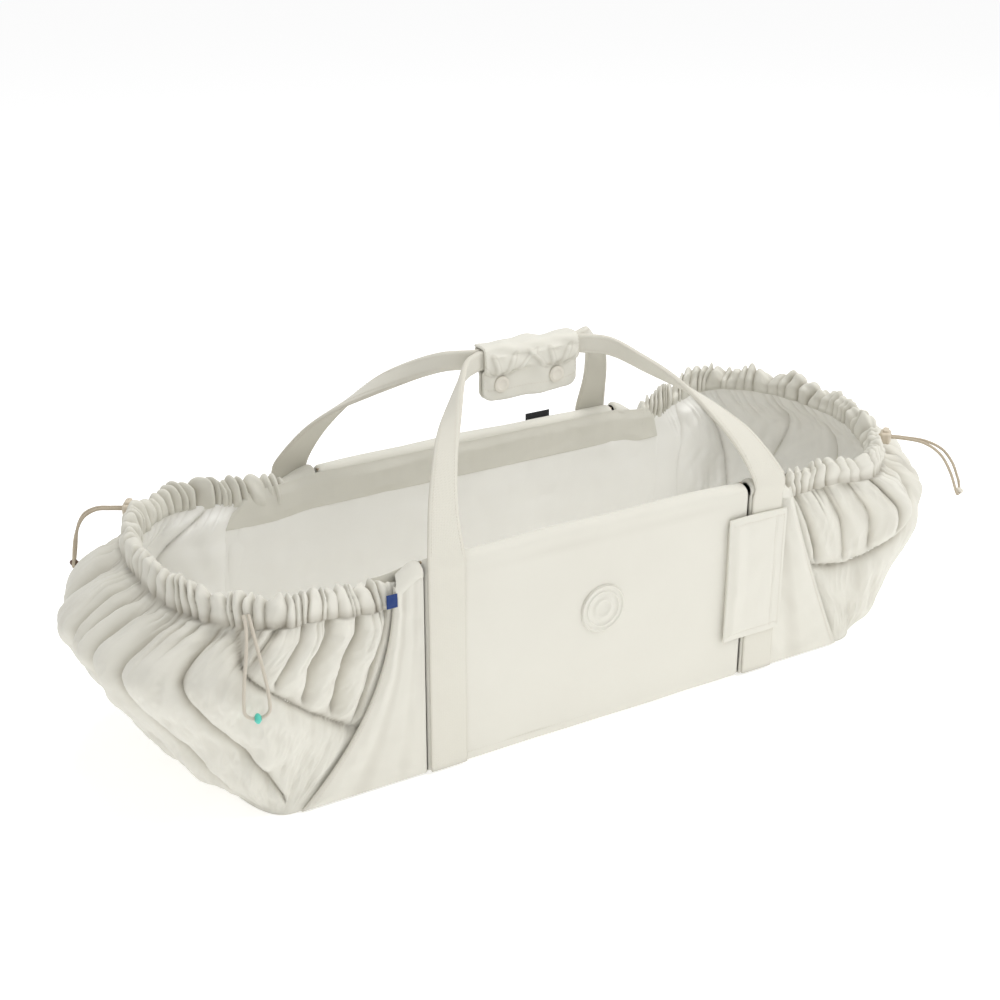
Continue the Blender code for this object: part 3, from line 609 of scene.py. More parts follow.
def rim_sag(end, s, whole):
    """How far the rim lies below its mean height: it dips behind the wings, and one stretch stands up."""
    deep = 0.014 if end < 0 else 0.007
    dip = deep * ramp(0.15 - s, 0, 0.09) + 0.5 * deep * ramp(s - (whole - 0.13), 0, 0.08)
    hidden = 0.013 * (ramp(HEMMED - s, -0.012, 0.006) + ramp(s - (whole - HEMMED), -0.012, 0.006))
    raised = 0.015 * ramp(s / whole, 0.34, 0.50) * ramp(-s / whole, -0.90, -0.72) if end > 0 else 0.0
    return np.maximum(dip, hidden) - raised


def calm_near_slits(s, whole):
    """0 in the flat hems beside the slits, 1 in the gathered part."""
    left = ramp(s, HEMMED - 0.018, HEMMED + 0.010)
    return left * ramp(-s, -(whole - HEMMED + 0.018), -(whole - HEMMED - 0.010))


def above_fold(s, z, folds):
    """1 in the gathered tubes over the fold lines, 0 below them."""
    total = 0.0
    for fold in folds:
        route = np.array(sorted(fold))
        line = np.interp(s, route[:, 0], route[:, 1])
        inside = ramp(s, route[0, 0] - 0.02, route[0, 0]) * ramp(-s, -route[-1, 0] - 0.02, -route[-1, 0])
        total = total + inside * ramp(z - line, 0.0, 0.012)
    return np.clip(total, 0, 1)


def pleat_places(end, whole):
    return spaced(BOWLS[end]["seed"] + 5, whole, PLEAT_SPACING, 0.62)


def wall_relief(end, s, z):
    """Height of the quilted outer cloth over the wall, and how much painted shade it gets in seams, folds and
    pleats.
    """
    bowl = BOWLS[end]
    seed = bowl["seed"]
    whole = bowl_surface(end, 0.0, 0.1, 0.0)[2]
    wander = 0.0028 * ripple(seed + 1, s, z, 0.15)
    far = crease_distance(s + wander, z + 0.5 * wander, bowl["seams"])
    puff = pillow(far, PUFF_REACH)
    folds = above_fold(s, z, bowl["folds"])
    places = spaced(seed, whole, TUBE_SPACING, 0.4)
    tube = tubes(s + wander, places, 0.6)
    depth = per_tube(seed + 2, s, places, 0.45, 1.25)
    pleats = pleat_places(end, whole)
    pleat_long = per_tube(seed + 6, s, pleats, 0.010, 0.060)
    pleat_deep = per_tube(seed + 7, s, pleats, 0.15, 1.35)
    pleat = tubes(s + 0.5 * wander, pleats, 0.6) - 1
    near_rim = ramp((z - (WALL_TOP - pleat_long)) / pleat_long, 0.0, 1.0)
    height = puff * PUFF_HEIGHT * (1 - 0.5 * folds) + folds * puff * depth * TUBE_HEIGHT * (tube - 0.35)
    height += 0.0052 * near_rim * pleat * pleat_deep * (1 - 0.4 * folds)
    fine = ripple(seed + 9, s, z * 0.55, 0.022)
    height += (0.0016 * ripple(seed + 8, s, z, 0.055) + 0.0009 * fine
               - 0.0006 * np.abs(ripple(seed + 10, s, z, 0.013)))
    height += 0.0045 * ramp(z, 0.105, 0.165) * puff - 0.0065 * ramp(z, 0.176, WALL_TOP) - 0.0100
    # Painted shade: seams, the troughs between gathered tubes, rim pleats and the low parts of the fine
    # ripple get darker.
    crease_shade_amount = (1 - pillow(far, 0.007)) * 0.85 + folds * (1 - tube) ** 2 * 0.7
    crease_shade_amount += near_rim * (-pleat) ** 2 * 0.6 * pleat_deep + 0.12 * np.clip(-fine, 0, 1)
    return height, crease_shade_amount


def build_bowl_outer(end):
    bowl = BOWLS[end]
    whole = bowl_surface(end, 0.0, 0.1, 0.0)[2]
    s = np.linspace(0, whole, BOWL_COLUMNS)
    heights = np.concatenate([np.linspace(0.0012, 0.02, 9)[:-1], np.linspace(0.02, WALL_TOP, 74)])
    ss, zz = np.meshgrid(s, heights, indexing="ij")
    wall = bowl_surface(end, ss, zz, 0.0)[0]
    normal = grid_normals(wall)
    outward = np.sign((normal[..., :2] * (wall[..., :2] - [end * 0.15, 0])).sum())
    normal *= outward
    height, crease_shade_amount = wall_relief(end, ss, zz)
    height = np.maximum(height, -0.0094 * np.hypot(normal[..., 0], normal[..., 1]))
    flared = np.where(ss < whole / 2, end == -1, end == 1)
    edge = np.where(flared, wing_edge(True, zz), wing_edge(False, zz))
    beyond = np.abs(wall[..., 0]) - edge
    free = ramp(beyond, -0.002, 0.016)
    height = np.where(height > -0.002, height * free - 0.002 * (1 - free), height)
    height = height * ramp(zz, 0.0, 0.028)
    wall = wall + normal * height[..., None]
    sag = rim_sag(end, ss, whole)
    wall[..., 2] -= sag * ramp(zz, 0.10, WALL_TOP)

    turn = np.linspace(0, pi, 30)[None, :]
    pleats = pleat_places(end, whole)
    column = s[:, None]
    calm = calm_near_slits(column, whole)
    shift = 0.0035 * ripple(bowl["seed"] + 12, column, turn * 0.012, 0.05) + 0.003 * np.cos(turn)
    full = tubes(column + shift, pleats, 0.5)
    size = per_tube(bowl["seed"] + 13, column, pleats, 0.35, 1.35)
    swell = CASING_FULLNESS * size * (full - 0.55) * (0.35 + 0.65 * np.sin(turn) ** 0.5)
    swell += 0.0011 * ripple(bowl["seed"] + 14, column, turn * 0.02, 0.018)
    swell = np.maximum(swell * calm, -0.0038)
    middle = WALL_T / 2
    inset = middle - (middle - 0.0012 * np.cos(turn) + swell) * np.cos(turn)
    base = WALL_TOP + 0.0003
    rise = ((CASING_TOP - base) * (0.84 + 0.16 * size * full * calm) + swell) * np.sin(turn) ** 0.75
    along = 0.006 * ripple(bowl["seed"] + 15, column, turn * 0.0, 0.06) * calm
    foot = bowl_surface(end, np.broadcast_to(column, inset.shape), np.full(inset.shape, 0.196), 0.0)[0]
    inner = bowl_surface(end, np.broadcast_to(column, inset.shape), np.full(inset.shape, 0.196), WALL_T)[0]
    share = (inset / WALL_T)[..., None]
    casing = foot + (inner - foot) * share
    casing[..., 2] = base + rise - sag[:, :1] \
        + 0.0030 * ripple(bowl["seed"] + 16, column, turn * 0, 0.06) * np.sin(turn) * calm
    casing[..., :2] += (np.sign(casing[..., :2]) * [0.4, 1.0]) * (along * np.sin(turn))[..., None] * 0.3
    # Painted shade in the folds between the casing's gathers and along its outer foot, where it meets the
    # wall's top.
    casing_crease_shade = np.clip((1 - full) ** 1.5 * 0.9 * size * calm + 0.5 * np.exp(-(turn / 0.18) ** 2), 0, 1)

    back_levels = np.linspace(WALL_TOP - 0.004, 0.002, 24)
    bs, bz = np.meshgrid(s, back_levels, indexing="ij")
    back = bowl_surface(end, bs, bz, 0.0125)[0]
    back[..., 2] -= sag[:, :1] * ramp(bz, 0.10, WALL_TOP)
    grid = np.concatenate([wall, casing, back], axis=1)
    crease_shade = np.concatenate([crease_shade_amount * free, casing_crease_shade * np.ones_like(inset), np.zeros_like(bs)], axis=1)
    obj = skin(f"{bowl['word']}_bowl", grid, COTTON, closed_v=True, caps=True, crease_shade=crease_shade)
    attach(obj, "root")
    word = bowl["word"]
    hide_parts(f"{word}_bowl_shell", f"{word}_bowl_padding", f"{word}_rim_casing")
    return obj


def build_bowl_lining(end):
    bowl = BOWLS[end]
    whole = bowl_surface(end, 0.0, 0.1, 0.0)[2]
    s = np.linspace(0.0, whole, 560)
    heights = np.linspace(0.008, WALL_TOP + 0.002, 66)
    ss, zz = np.meshgrid(s, heights, indexing="ij")
    wall = bowl_surface(end, ss, zz, WALL_T)[0]
    normal = grid_normals(wall)
    outward = np.sign((normal[..., :2] * (wall[..., :2] - [end * 0.15, 0])).sum())
    wander = 0.003 * ripple(bowl["seed"] + 19, ss, zz, 0.13)
    far = crease_distance(ss + wander, zz, INNER_SEAMS)
    puff = pillow(far, 0.022)
    pleats = pleat_places(end, whole)
    long = per_tube(bowl["seed"] + 20, ss, pleats, 0.015, 0.06)
    near_rim = ramp((zz - (WALL_TOP - long)) / long, 0.0, 1.0)
    pleat = tubes(ss, pleats, 0.6) - 1
    height = 0.0105 * puff + 0.0042 * near_rim * pleat + 0.0016 * ripple(bowl["seed"] + 21, ss, zz, 0.05)
    height += 0.0006 * ripple(bowl["seed"] + 22, ss, zz, 0.02) - 0.002
    calm = ramp(ss, 0.07, 0.13) * ramp(whole - ss, 0.07, 0.13) * ramp(zz, 0.02, 0.06)
    tucked = ramp(zz, WALL_TOP - 0.014, WALL_TOP - 0.002)
    height = (height * calm - 0.0004) * (1 - tucked) + 0.0006 * tucked
    sag = rim_sag(end, ss, whole)
    wall = wall - normal * outward * height[..., None]
    wall[..., 2] -= sag * ramp(zz, 0.10, WALL_TOP)
    # Painted shade in the lining's seams and rim pleats, only in its gathered part.
    crease_shade_amount = ((1 - pillow(far, 0.005)) * 0.6 + near_rim * (-pleat) ** 2 * 0.4) * calm
    bs, bz = np.meshgrid(s, heights[::-3], indexing="ij")
    back = bowl_surface(end, bs, bz, WALL_T - 0.003)[0]
    back[..., 2] -= rim_sag(end, bs, whole) * ramp(bz, 0.10, WALL_TOP)
    grid = np.concatenate([wall, back], axis=1)
    crease_shade = np.concatenate([crease_shade_amount, np.zeros_like(bs)], axis=1)
    obj = skin(f"{bowl['word']}_lining", grid, LINING, closed_v=True, caps=True, crease_shade=crease_shade)
    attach(obj, "root")
    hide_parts(f"{bowl['word']}_bowl_lining")


def tube_mesh(name, route, radius, material, sides=10):
    """Round cord as a mesh along a route, for cord that runs inside a casing."""
    route = np.array(route, float)
    along = np.gradient(route, axis=0)
    along /= np.linalg.norm(along, axis=1, keepdims=True)
    across = np.cross(along, [0, 0, 1.0])
    across /= np.linalg.norm(across, axis=1, keepdims=True)
    up = np.cross(across, along)
    angle = np.linspace(0, 2 * pi, sides, endpoint=False)
    ring = across[:, None] * np.cos(angle)[None, :, None] + up[:, None] * np.sin(angle)[None, :, None]
    return skin(name, route[:, None] + ring * radius, material, closed_v=True, caps=True)


def build_drawcord(end):
    word = BOWLS[end]["word"]
    whole = bowl_surface(end, 0.0, 0.1, 0.0)[2]
    s = np.linspace(0.003, whole - 0.003, 160)
    route = bowl_surface(end, s, np.full_like(s, 0.1985), WALL_T / 2)[0]
    route[:, 2] -= rim_sag(end, s, whole)
    obj = tube_mesh(f"{word}_casing_cord", route, 0.0014, CORD)
    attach(obj, "root")
    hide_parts(f"{word}_drawcord")


# ---- base and mattress
def footprint(z, inset, count=90):
    """Closed plan of the whole cot at height z."""
    ring = []
    for end, side in ((1, -1), (1, 1), (-1, 1), (-1, -1)):
        turn = np.concatenate([np.linspace(0.0, 1, 12)[:-1], 1 + np.linspace(0, 1, count)])
        x, y = plan_point(end, side, turn, np.full_like(turn, z), inset)
        half = np.stack([x, y], -1)
        flank = np.stack([np.linspace(end * 0.004, half[0][0], 24)[:-1], np.full(23, half[0][1])], -1)
        half = np.vstack([flank, half])
        ring.append(half[:-1] if end * side < 0 else half[::-1])
    return np.vstack(ring)


def cushion(name, outline, levels, top_relief, material):
    """Solid from a closed outline: (share of the outline, height) rows, from bottom middle to top middle."""
    rows = []
    for share, inset, z in levels:
        size = np.array([1 - inset / 0.36, 1 - inset / 0.12])
        ring = outline * share * size
        lift = top_relief(ring[:, 0], ring[:, 1]) * (z > levels[0][2] + 0.001)
        rows.append(np.column_stack([ring, np.full(len(ring), z) + lift]))
    return skin(name, np.array(rows), material, closed_v=True, caps=True)


def build_base():
    outline = footprint(0.0043, 0.0005)
    levels = [(f, 0.0, 0.0004) for f in (0.02, 0.5, 0.8)]
    levels += [(1, 0.0012, 0.0004), (1, 0.0002, 0.0014), (1, 0.0, 0.0022), (1, 0.0004, 0.0034),
               (1, 0.0014, 0.004)]
    levels += [(f, 0.0, 0.004) for f in (0.9, 0.5, 0.02)]
    obj = cushion("base_fabric", outline, levels, lambda x, y: 0 * x, COTTON)
    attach(obj, "root")
    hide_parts("base_cover")


def build_mattress():
    outline = footprint(0.0043, 0.0156)
    low, high = 0.0079, 0.0329
    inner = [0.008, 0.2, 0.4, 0.6, 0.8, 0.9, 0.96, 0.985]
    under = [(f, 0.0, low) for f in inner]
    side = []
    for angle in np.linspace(-90, 90, 25):
        across, up = cos(radians(angle)), sin(radians(angle))
        height = (low + high) / 2 + (high - low) / 2 * np.sign(up) * abs(up) ** 0.8
        side.append((1.0, 0.009 * (1 - across ** 0.7), height))
    top = [(f, 0.009 * f, high) for f in np.linspace(0.992, 0.004, 72)]

    def quilt(x, y):
        a, b = (x + y) / 0.062, (x - y) / 0.062
        seam = np.minimum(np.abs(np.sin(pi * a)), np.abs(np.sin(pi * b)))
        return -0.0028 * (1 - seam ** 0.45) * ramp(0.10 - np.abs(y), 0.0, 0.03)

    obj = cushion("mattress_pad", outline, under + side + top, quilt, LINING)
    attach(obj, "mattress")
    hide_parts("mattress")


# ---- side panels and wings
def panel_profile(y_out, y_in, low, top):
    """Cross-section of a panel's cover: outer face, crowned edge, inner hem band, then under the liner."""
    crown = (y_out - y_in) / 2
    middle = (y_out + y_in) / 2
    rows = [(y_out - 0.004, low), (y_out - 0.0012, low + 0.0004), (y_out, low + 0.0022)]
    rows += [(y_out, z) for z in np.linspace(low + 0.008, top - crown * 0.8 - 0.004, 30)]
    for angle in np.linspace(0, 180, 17):
        turn = radians(angle)
        rows.append((middle + crown * cos(turn), top - crown * 0.8 + crown * 0.8 * sin(turn)))
    rows += [(y_in, z) for z in np.linspace(top - crown * 0.8 - 0.004, top - HEM_BAND + 0.002, 9)]
    rows += [(y_in + 0.0009, top - HEM_BAND), (y_in + 0.0030, top - HEM_BAND - 0.0006)]
    rows += [(y_in + 0.0034, z) for z in np.linspace(top - HEM_BAND - 0.004, low + 0.003, 6)]
    rows += [(y_in + 0.0044, low)]
    return np.array(rows)


def build_panel(side):
    word = word_of(side)
    profile = panel_profile(PANEL_FACE_Y, PANEL_INSIDE_Y + 0.0002, HEM_CLEAR, PANEL_HEIGHT)
    x = out_of_step(170, -FAR_EDGE - SLIT_CLOSE, NEAR_EDGE + SLIT_CLOSE, 1.6)
    xx, yy = np.meshgrid(x, profile[:, 0], indexing="ij")
    zz = np.broadcast_to(profile[:, 1], xx.shape).copy()
    middle = (PANEL_FACE_Y + PANEL_INSIDE_Y) / 2
    outer = ramp(yy, middle - 0.001, middle + 0.006)
    end = np.minimum(xx + FAR_EDGE, NEAR_EDGE - xx) + SLIT_CLOSE
    corner = 0.0055
    tuck = corner * (1 - np.sqrt(1 - (1 - np.clip(end / corner, 0, 1)) ** 2))
    body = np.sin(pi * np.clip((xx + FAR_EDGE) / (FAR_EDGE + NEAR_EDGE), 0, 1)) ** 0.35
    height_share = np.sin(pi * np.clip(zz / PANEL_HEIGHT, 0, 1)) ** 0.5
    wavy = 0.0005 * ripple(41 + side, xx, zz, 0.12) + 0.0002 * ripple(44 + side, xx, zz, 0.035)
    yy = yy + outer * (0.0010 * body * height_share + wavy * body - tuck * 0.62)
    top = ramp(zz, PANEL_HEIGHT - 0.03, PANEL_HEIGHT)
    zz = zz - top * (tuck * 1.5 + 0.0016 * (1 - body)) + top * 0.0006 * ripple(47 + side, xx, zz * 0, 0.09)
    # Painted shade: a thin dark line about 16 mm below the top of the outer face, where the padded top edge
    # rolls over.
    crease_shade = np.clip(0.35 * np.exp(-((zz - PANEL_HEIGHT + 0.016) / 0.0012) ** 2) * outer, 0, 1)
    grid = turned(side, np.stack([xx, -yy, zz], -1))
    obj = skin(f"{word}_panel", grid, COTTON, closed_v=True, caps=True, crease_shade=crease_shade)
    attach(obj, "root")
    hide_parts(f"{word}_cover", f"{word}_foam")
    across = np.linspace(-FAR_EDGE + 0.006, NEAR_EDGE - 0.006, 60)
    hem = np.stack([across, np.full(60, -PANEL_INSIDE_Y - 0.0002),
                    np.full(60, PANEL_HEIGHT - HEM_BAND + 0.003)], -1)
    stitch("root", turned(side, hem), turned(side, [0, 1, 0]))
    foot = np.stack([across, np.full(60, -PANEL_FACE_Y - 0.0001), np.full(60, 0.011)], -1)
    stitch("root", turned(side, foot), turned(side, [0, -1, 0]))
    build_liner(side)


def plate(name, material, x_of, z_of, y_out, thickness, side, relief, count, edge, crease_shade_of=None):
    """Soft flat piece with rounded edges. x_of and z_of map (u, v) in 0..1 to x and z of the front half."""
    u, v = out_of_step(count[0], 0, 1, 1.7), out_of_step(count[1], 0, 1, 1.7)
    uu, vv = np.meshgrid(u, v, indexing="ij")
    xx, zz = x_of(uu, vv), z_of(uu, vv)
    width = np.abs(xx[-1] - xx[0]).mean()
    tall = np.abs(zz[:, -1] - zz[:, 0]).mean()
    rim = np.minimum(np.minimum(uu, 1 - uu) * width, np.minimum(vv, 1 - vv) * tall)
    roll = np.clip(rim / edge, 0, 1)
    half = thickness / 2 * np.sqrt(1 - (1 - roll) ** 2)
    middle = y_out - thickness / 2
    lift = relief(xx, zz, uu, vv) * ramp(rim, 0, 0.012)
    front = np.stack([xx, -(middle + half + lift), zz], -1)
    back = np.stack([xx, -(middle - half + 0.3 * np.maximum(lift, 0)), zz], -1)
    grid = np.concatenate([front, back[:, ::-1]], axis=1)
    # Painted shade on the front face only, from the given function; the back face gets none.
    crease_shade = None
    if crease_shade_of is not None:
        face = crease_shade_of(uu, vv)
        crease_shade = np.concatenate([face, face[:, ::-1] * 0], axis=1)
    return skin(name, turned(side, grid), material, closed_v=True, caps=False, crease_shade=crease_shade)


LONG_END = [(0.034, 0.300), (0.128, 0.292), (0.176, 0.263), (0.207, 0.234)]
SHORT_END = [(0.034, 0.234), (0.100, 0.241), (0.160, 0.245), (0.190, 0.238), (0.207, 0.221)]


def flank_y(x, z, inset):
    """Distance of a bowl's flank from the middle plane, in the front half's own frame."""
    shoulder = np.where(x < 0, wing_edge(True, z), wing_edge(False, z)) + 0.001
    reach, half = curve(REACH, z) - inset, INNER_Y - inset
    angle = np.arcsin(np.clip((np.abs(x) - shoulder) / (reach - shoulder), 0, 1) ** (BOWL_POWER / 2))
    width = half + curve(SWELL, z) * smooth(angle / (pi / 2) / SWELL_START)
    return np.where(np.abs(x) < shoulder, half, width * np.cos(angle) ** (2 / BOWL_POWER))


def top_edge(x, drop=WING_DROP):
    """Height of the side's top edge along its length, dropping over the wings."""
    start = np.where(x < 0, FAR_EDGE, NEAR_EDGE) + SLIT
    tip = np.where(x < 0, WING_FLARED[0], WING_STRAIGHT[0])
    return PANEL_HEIGHT - drop * ramp(np.abs(x), start, tip + 0.006)


def inside_sheet(name, side, material, low_of, high_of, thickness, seed, merge):
    """One layer of cloth over a panel's and its two wings' inner faces, following the bowls' flanks."""
    u, v = np.linspace(0, 1, 230)[:, None], out_of_step(64, 0, 1, 1.6)[None, :]
    guess = low_of(0.0) + (0.2 - low_of(0.0)) * v + 0 * u
    long, short = np.interp(guess, *zip(*LONG_END)), np.interp(guess, *zip(*SHORT_END))
    x = (long + short) * u - short
    z = low_of(x) + (high_of(x) - low_of(x)) * v
    long, short = np.interp(z, *zip(*LONG_END)), np.interp(z, *zip(*SHORT_END))
    x = (long + short) * u - short
    rim = np.minimum(np.minimum(u * 0.5, (1 - u) * 0.5) + 0 * v, (z - low_of(x)) + 0.0004)
    roll = np.sqrt(1 - (1 - np.clip(rim / 0.0016, 0, 1)) ** 2)
    if merge:
        roll = roll * (0.15 + 0.85 * ramp(high_of(x) - z, 0.0, 0.012))
    lift = 0.0007 * ripple(seed, x, z, 0.09) + 0.0003 * ripple(seed + 1, x, z, 0.025)
    wall = flank_y(x, z, WALL_T)
    face = wall - (thickness + np.maximum(lift, -0.0006) * ramp(rim, 0, 0.01)) * roll
    front = np.stack([x, -face, z], -1)
    back = np.stack([x, -wall - 0.0004, z], -1)
    return skin(name, turned(side, np.concatenate([front, back[:, ::-1]], axis=1)), material, closed_v=True)


def build_liner(side):
    word = word_of(side)
    obj = inside_sheet(f"{word}_liner_cloth", side, LINING, lambda x: 0.0335 + 0.0 * x,
                       lambda x: top_edge(x, 0.005) - HEM_BAND + 0.003, 0.0012, 61 + side, False)
    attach(obj, "root")
    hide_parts(f"{word}_liner")
    hem = inside_sheet(f"{word}_inner_hem", side, COTTON, lambda x: top_edge(x, 0.005) - HEM_BAND,
                       lambda x: top_edge(x, 0.005) - 0.0050, 0.0024, 61 + side, True)
    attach(hem, "root")


def build_wing_top(end, side):
    """Folded top hem of a wing, closing over the bowl's flank beside the slit."""
    flared = end == side
    local = -1 if flared else 1
    start = (FAR_EDGE if flared else NEAR_EDGE) + SLIT - SLIT_CLOSE
    tip = wing_edge(flared, PANEL_HEIGHT - WING_DROP) - 0.0005
    outer, inner = PANEL_FACE_Y + 0.0009, PANEL_INSIDE_Y - 0.0003
    middle, half = (outer + inner) / 2, (outer - inner) / 2
    path = [(outer, -0.0115), (outer, -0.0095), (outer, -0.0078)]
    path += [(middle + half * cos(radians(a)), -0.0072 + 0.0072 * sin(radians(a)))
             for a in range(10, 171, 10)]
    path += [(inner, -0.0078), (inner, -0.0105), (inner, -0.0135)]
    line = smooth_line(path, 90)
    x = start + (tip - start) * np.concatenate([np.linspace(0, 0.12, 12)[:-1], np.linspace(0.12, 1, 40)])
    over = 0.20 + 0.80 * ramp(tip - x, -0.002, 0.014)
    rows = []
    for place, share in zip(x, over):
        at = np.linspace(0, share * 89, 46)
        y, z = np.interp(at, np.arange(90), line[:, 0]), np.interp(at, np.arange(90), line[:, 1])
        dy, dz = np.gradient(y), np.gradient(z)
        size = np.hypot(dy, dz)
        shrink = np.sqrt(1 - (1 - np.clip((place - start) / 0.004, 0, 1)) ** 2)
        y, z = middle + (y - middle) * (0.75 + 0.25 * shrink), z - 0.003 * (1 - shrink)
        edge = np.clip(np.minimum(np.arange(46), 45 - np.arange(46)) / 3, 0.1, 1)
        ny, nz, t = -dz / size * 0.0006 * edge, dy / size * 0.0006 * edge, float(top_edge(local * place))
        outside, inside = np.stack([y - ny, z - nz], -1), np.stack([y + ny, z + nz], -1)
        ring = np.vstack([outside, inside[::-1]])
        rows.append(np.column_stack([np.full(92, local * place), -ring[:, 0], t + ring[:, 1]]))
    word = f"{word_of(side)}_{'right' if end > 0 else 'left'}"
    obj = skin(f"{word}_wing_hem", turned(side, np.array(rows)), COTTON, closed_v=True, caps=True)
    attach(obj, "root")


def build_wing(end, side):
    flared = end == side
    word = f"{word_of(side)}_{'right' if end > 0 else 'left'}"
    local = -1 if flared else 1                       # the wing's x direction in the front half's own frame
    start = (FAR_EDGE if flared else NEAR_EDGE) + SLIT - SLIT_CLOSE
    outer_top = PANEL_HEIGHT - WING_DROP
    seed = 70 + end * 3 + side * 5

    def height(u, v):
        top = PANEL_HEIGHT + (outer_top - PANEL_HEIGHT) * smooth(u) - 0.0045 * ramp(1.0 - u, 0.0, 0.15)
        return HEM_CLEAR + (top - HEM_CLEAR) * v

    def along(u, v):
        z = height(u, v)
        return local * (start + (wing_edge(flared, np.minimum(z, outer_top)) - start) * u)

    def relief(x, z, u, v):
        fan = u + 0.5 * (1 - v) * u * (1 - u)
        folds = np.sin(2 * pi * (fan * 2.6 + 0.12 * np.sin(5 * v))) * u * 0.9
        soft = 0.0013 * folds * (0.45 + 0.55 * v) + 0.0008 * ripple(seed, x, z, 0.07)
        return soft + 0.0005 * ripple(seed + 1, x, z, 0.022) + 0.0016 * ramp(u, 0.55, 1.0)

    # Painted shade in the troughs of the wing's fan folds.
    def crease_shade_amount(u, v):
        fan = u + 0.5 * (1 - v) * u * (1 - u)
        return np.clip(0.3 * np.maximum(-np.sin(2 * pi * fan * 2.6), 0) * u, 0, 1)

    obj = plate(f"{word}_wing_cloth", COTTON, along, height, PANEL_FACE_Y, COVER_T, side, relief, (70, 110),
                0.0022, crease_shade_of=crease_shade_amount)
    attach(obj, "root")
    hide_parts(f"{word}_wing")
    v = np.linspace(0.03, 0.97, 80)
    u = np.full_like(v, 0.955)
    x, z = along(u, v), height(u, v)
    lift = relief(x, z, u, v) * ramp(0.045 * np.abs(x - local * start) / 0.955, 0, 0.012)
    seam = np.stack([x, -(PANEL_FACE_Y + lift + 0.0002), z], -1)
    stitch("root", turned(side, seam), turned(side, [0, -1, 0]))


# ---- handles
def strap_route(place_index, step=0.0045):
    """Middle line of one strap leg from the panel's hem up over its hinge to the grip."""
    place = STRAP_PLACES[place_index]
    end = (-GRIP_HALF, GRIP_HALF)[place_index]
    shares = (FAR_LEG, NEAR_LEG)[place_index]
    grip = (end, -(0.0009 + GRIP_STRAP_T / 2), GRIP_STRAP_Z)
    hinge = (place, -AXIS_Y, AXIS_Z)
    bends = [tuple(h + (g - h) * f for h, g, f in zip(hinge, grip, share)) for share in shares]
    points = [(place, -AXIS_Y, z) for z in (0.0032, 0.07, 0.14, 0.19, AXIS_Z - 0.001)] + bends + [grip]
    fine = smooth_line(points, 1400)
    length = np.concatenate([[0], np.cumsum(np.linalg.norm(np.diff(fine, axis=0), axis=1))])
    want = np.linspace(0, length[-1], int(length[-1] / step))
    return np.stack([np.interp(want, length, fine[:, k]) for k in range(3)], -1)


def strap_frames():
    """Points and axes along a whole strap: hem, up one leg, through the grip, down the other leg."""
    legs = [strap_route(0), strap_route(1)]
    middle_x = np.linspace(-GRIP_HALF, GRIP_HALF, 30)[1:-1]
    grip = np.stack([middle_x, np.full(28, legs[0][-1][1]), np.full(28, GRIP_STRAP_Z)], -1)
    points = np.vstack([legs[0], grip, legs[1][::-1]])
    along = np.gradient(points, axis=0)
    along /= np.linalg.norm(along, axis=1, keepdims=True)
    reach = np.where(points[:, 0] < 0, abs(STRAP_PLACES[0]), abs(STRAP_PLACES[1]))
    twist = np.clip((reach - np.abs(points[:, 0])) / (reach - GRIP_HALF), 0, 1)
    twist = np.where(points[:, 2] < AXIS_Z, 0, twist)
    flat = np.array([1.0, 0, 0])
    upright = np.where(points[:, :1] < 0, 1.0, -1.0) * np.array([0, 0, 1.0])
    across = flat * (1 - twist[:, None]) + upright * twist[:, None]
    turn_over = (np.abs(points[:, 0]) <= GRIP_HALF + 0.001)
    across[turn_over] = np.array([0, 0, 1.0])
    leg_down = points[:, 0] > GRIP_HALF
    across[leg_down] *= -1
    across -= (across * along).sum(axis=1, keepdims=True) * along
    across /= np.linalg.norm(across, axis=1, keepdims=True)
    through = np.cross(along, across)
    lift = np.clip((points[:, 2] - AXIS_Z) / (GRIP_STRAP_Z - AXIS_Z), 0, 1)
    folded = 1 - (1 - lift) ** 1.8
    width = STRAP_W + (GRIP_STRAP_H - STRAP_W) * folded
    thick = STRAP_T + (GRIP_STRAP_T - STRAP_T) * folded
    return points, across, through, width, thick, twist


def strap_section(count=28):
    """Closed half-size section of webbing: flat faces, rounded edges."""
    angle = np.linspace(0, 2 * pi, count, endpoint=False) + pi / count
    a = np.sign(np.cos(angle)) * np.abs(np.cos(angle)) ** 0.35
    b = np.sign(np.sin(angle)) * np.abs(np.sin(angle)) ** 0.55
    return a, b


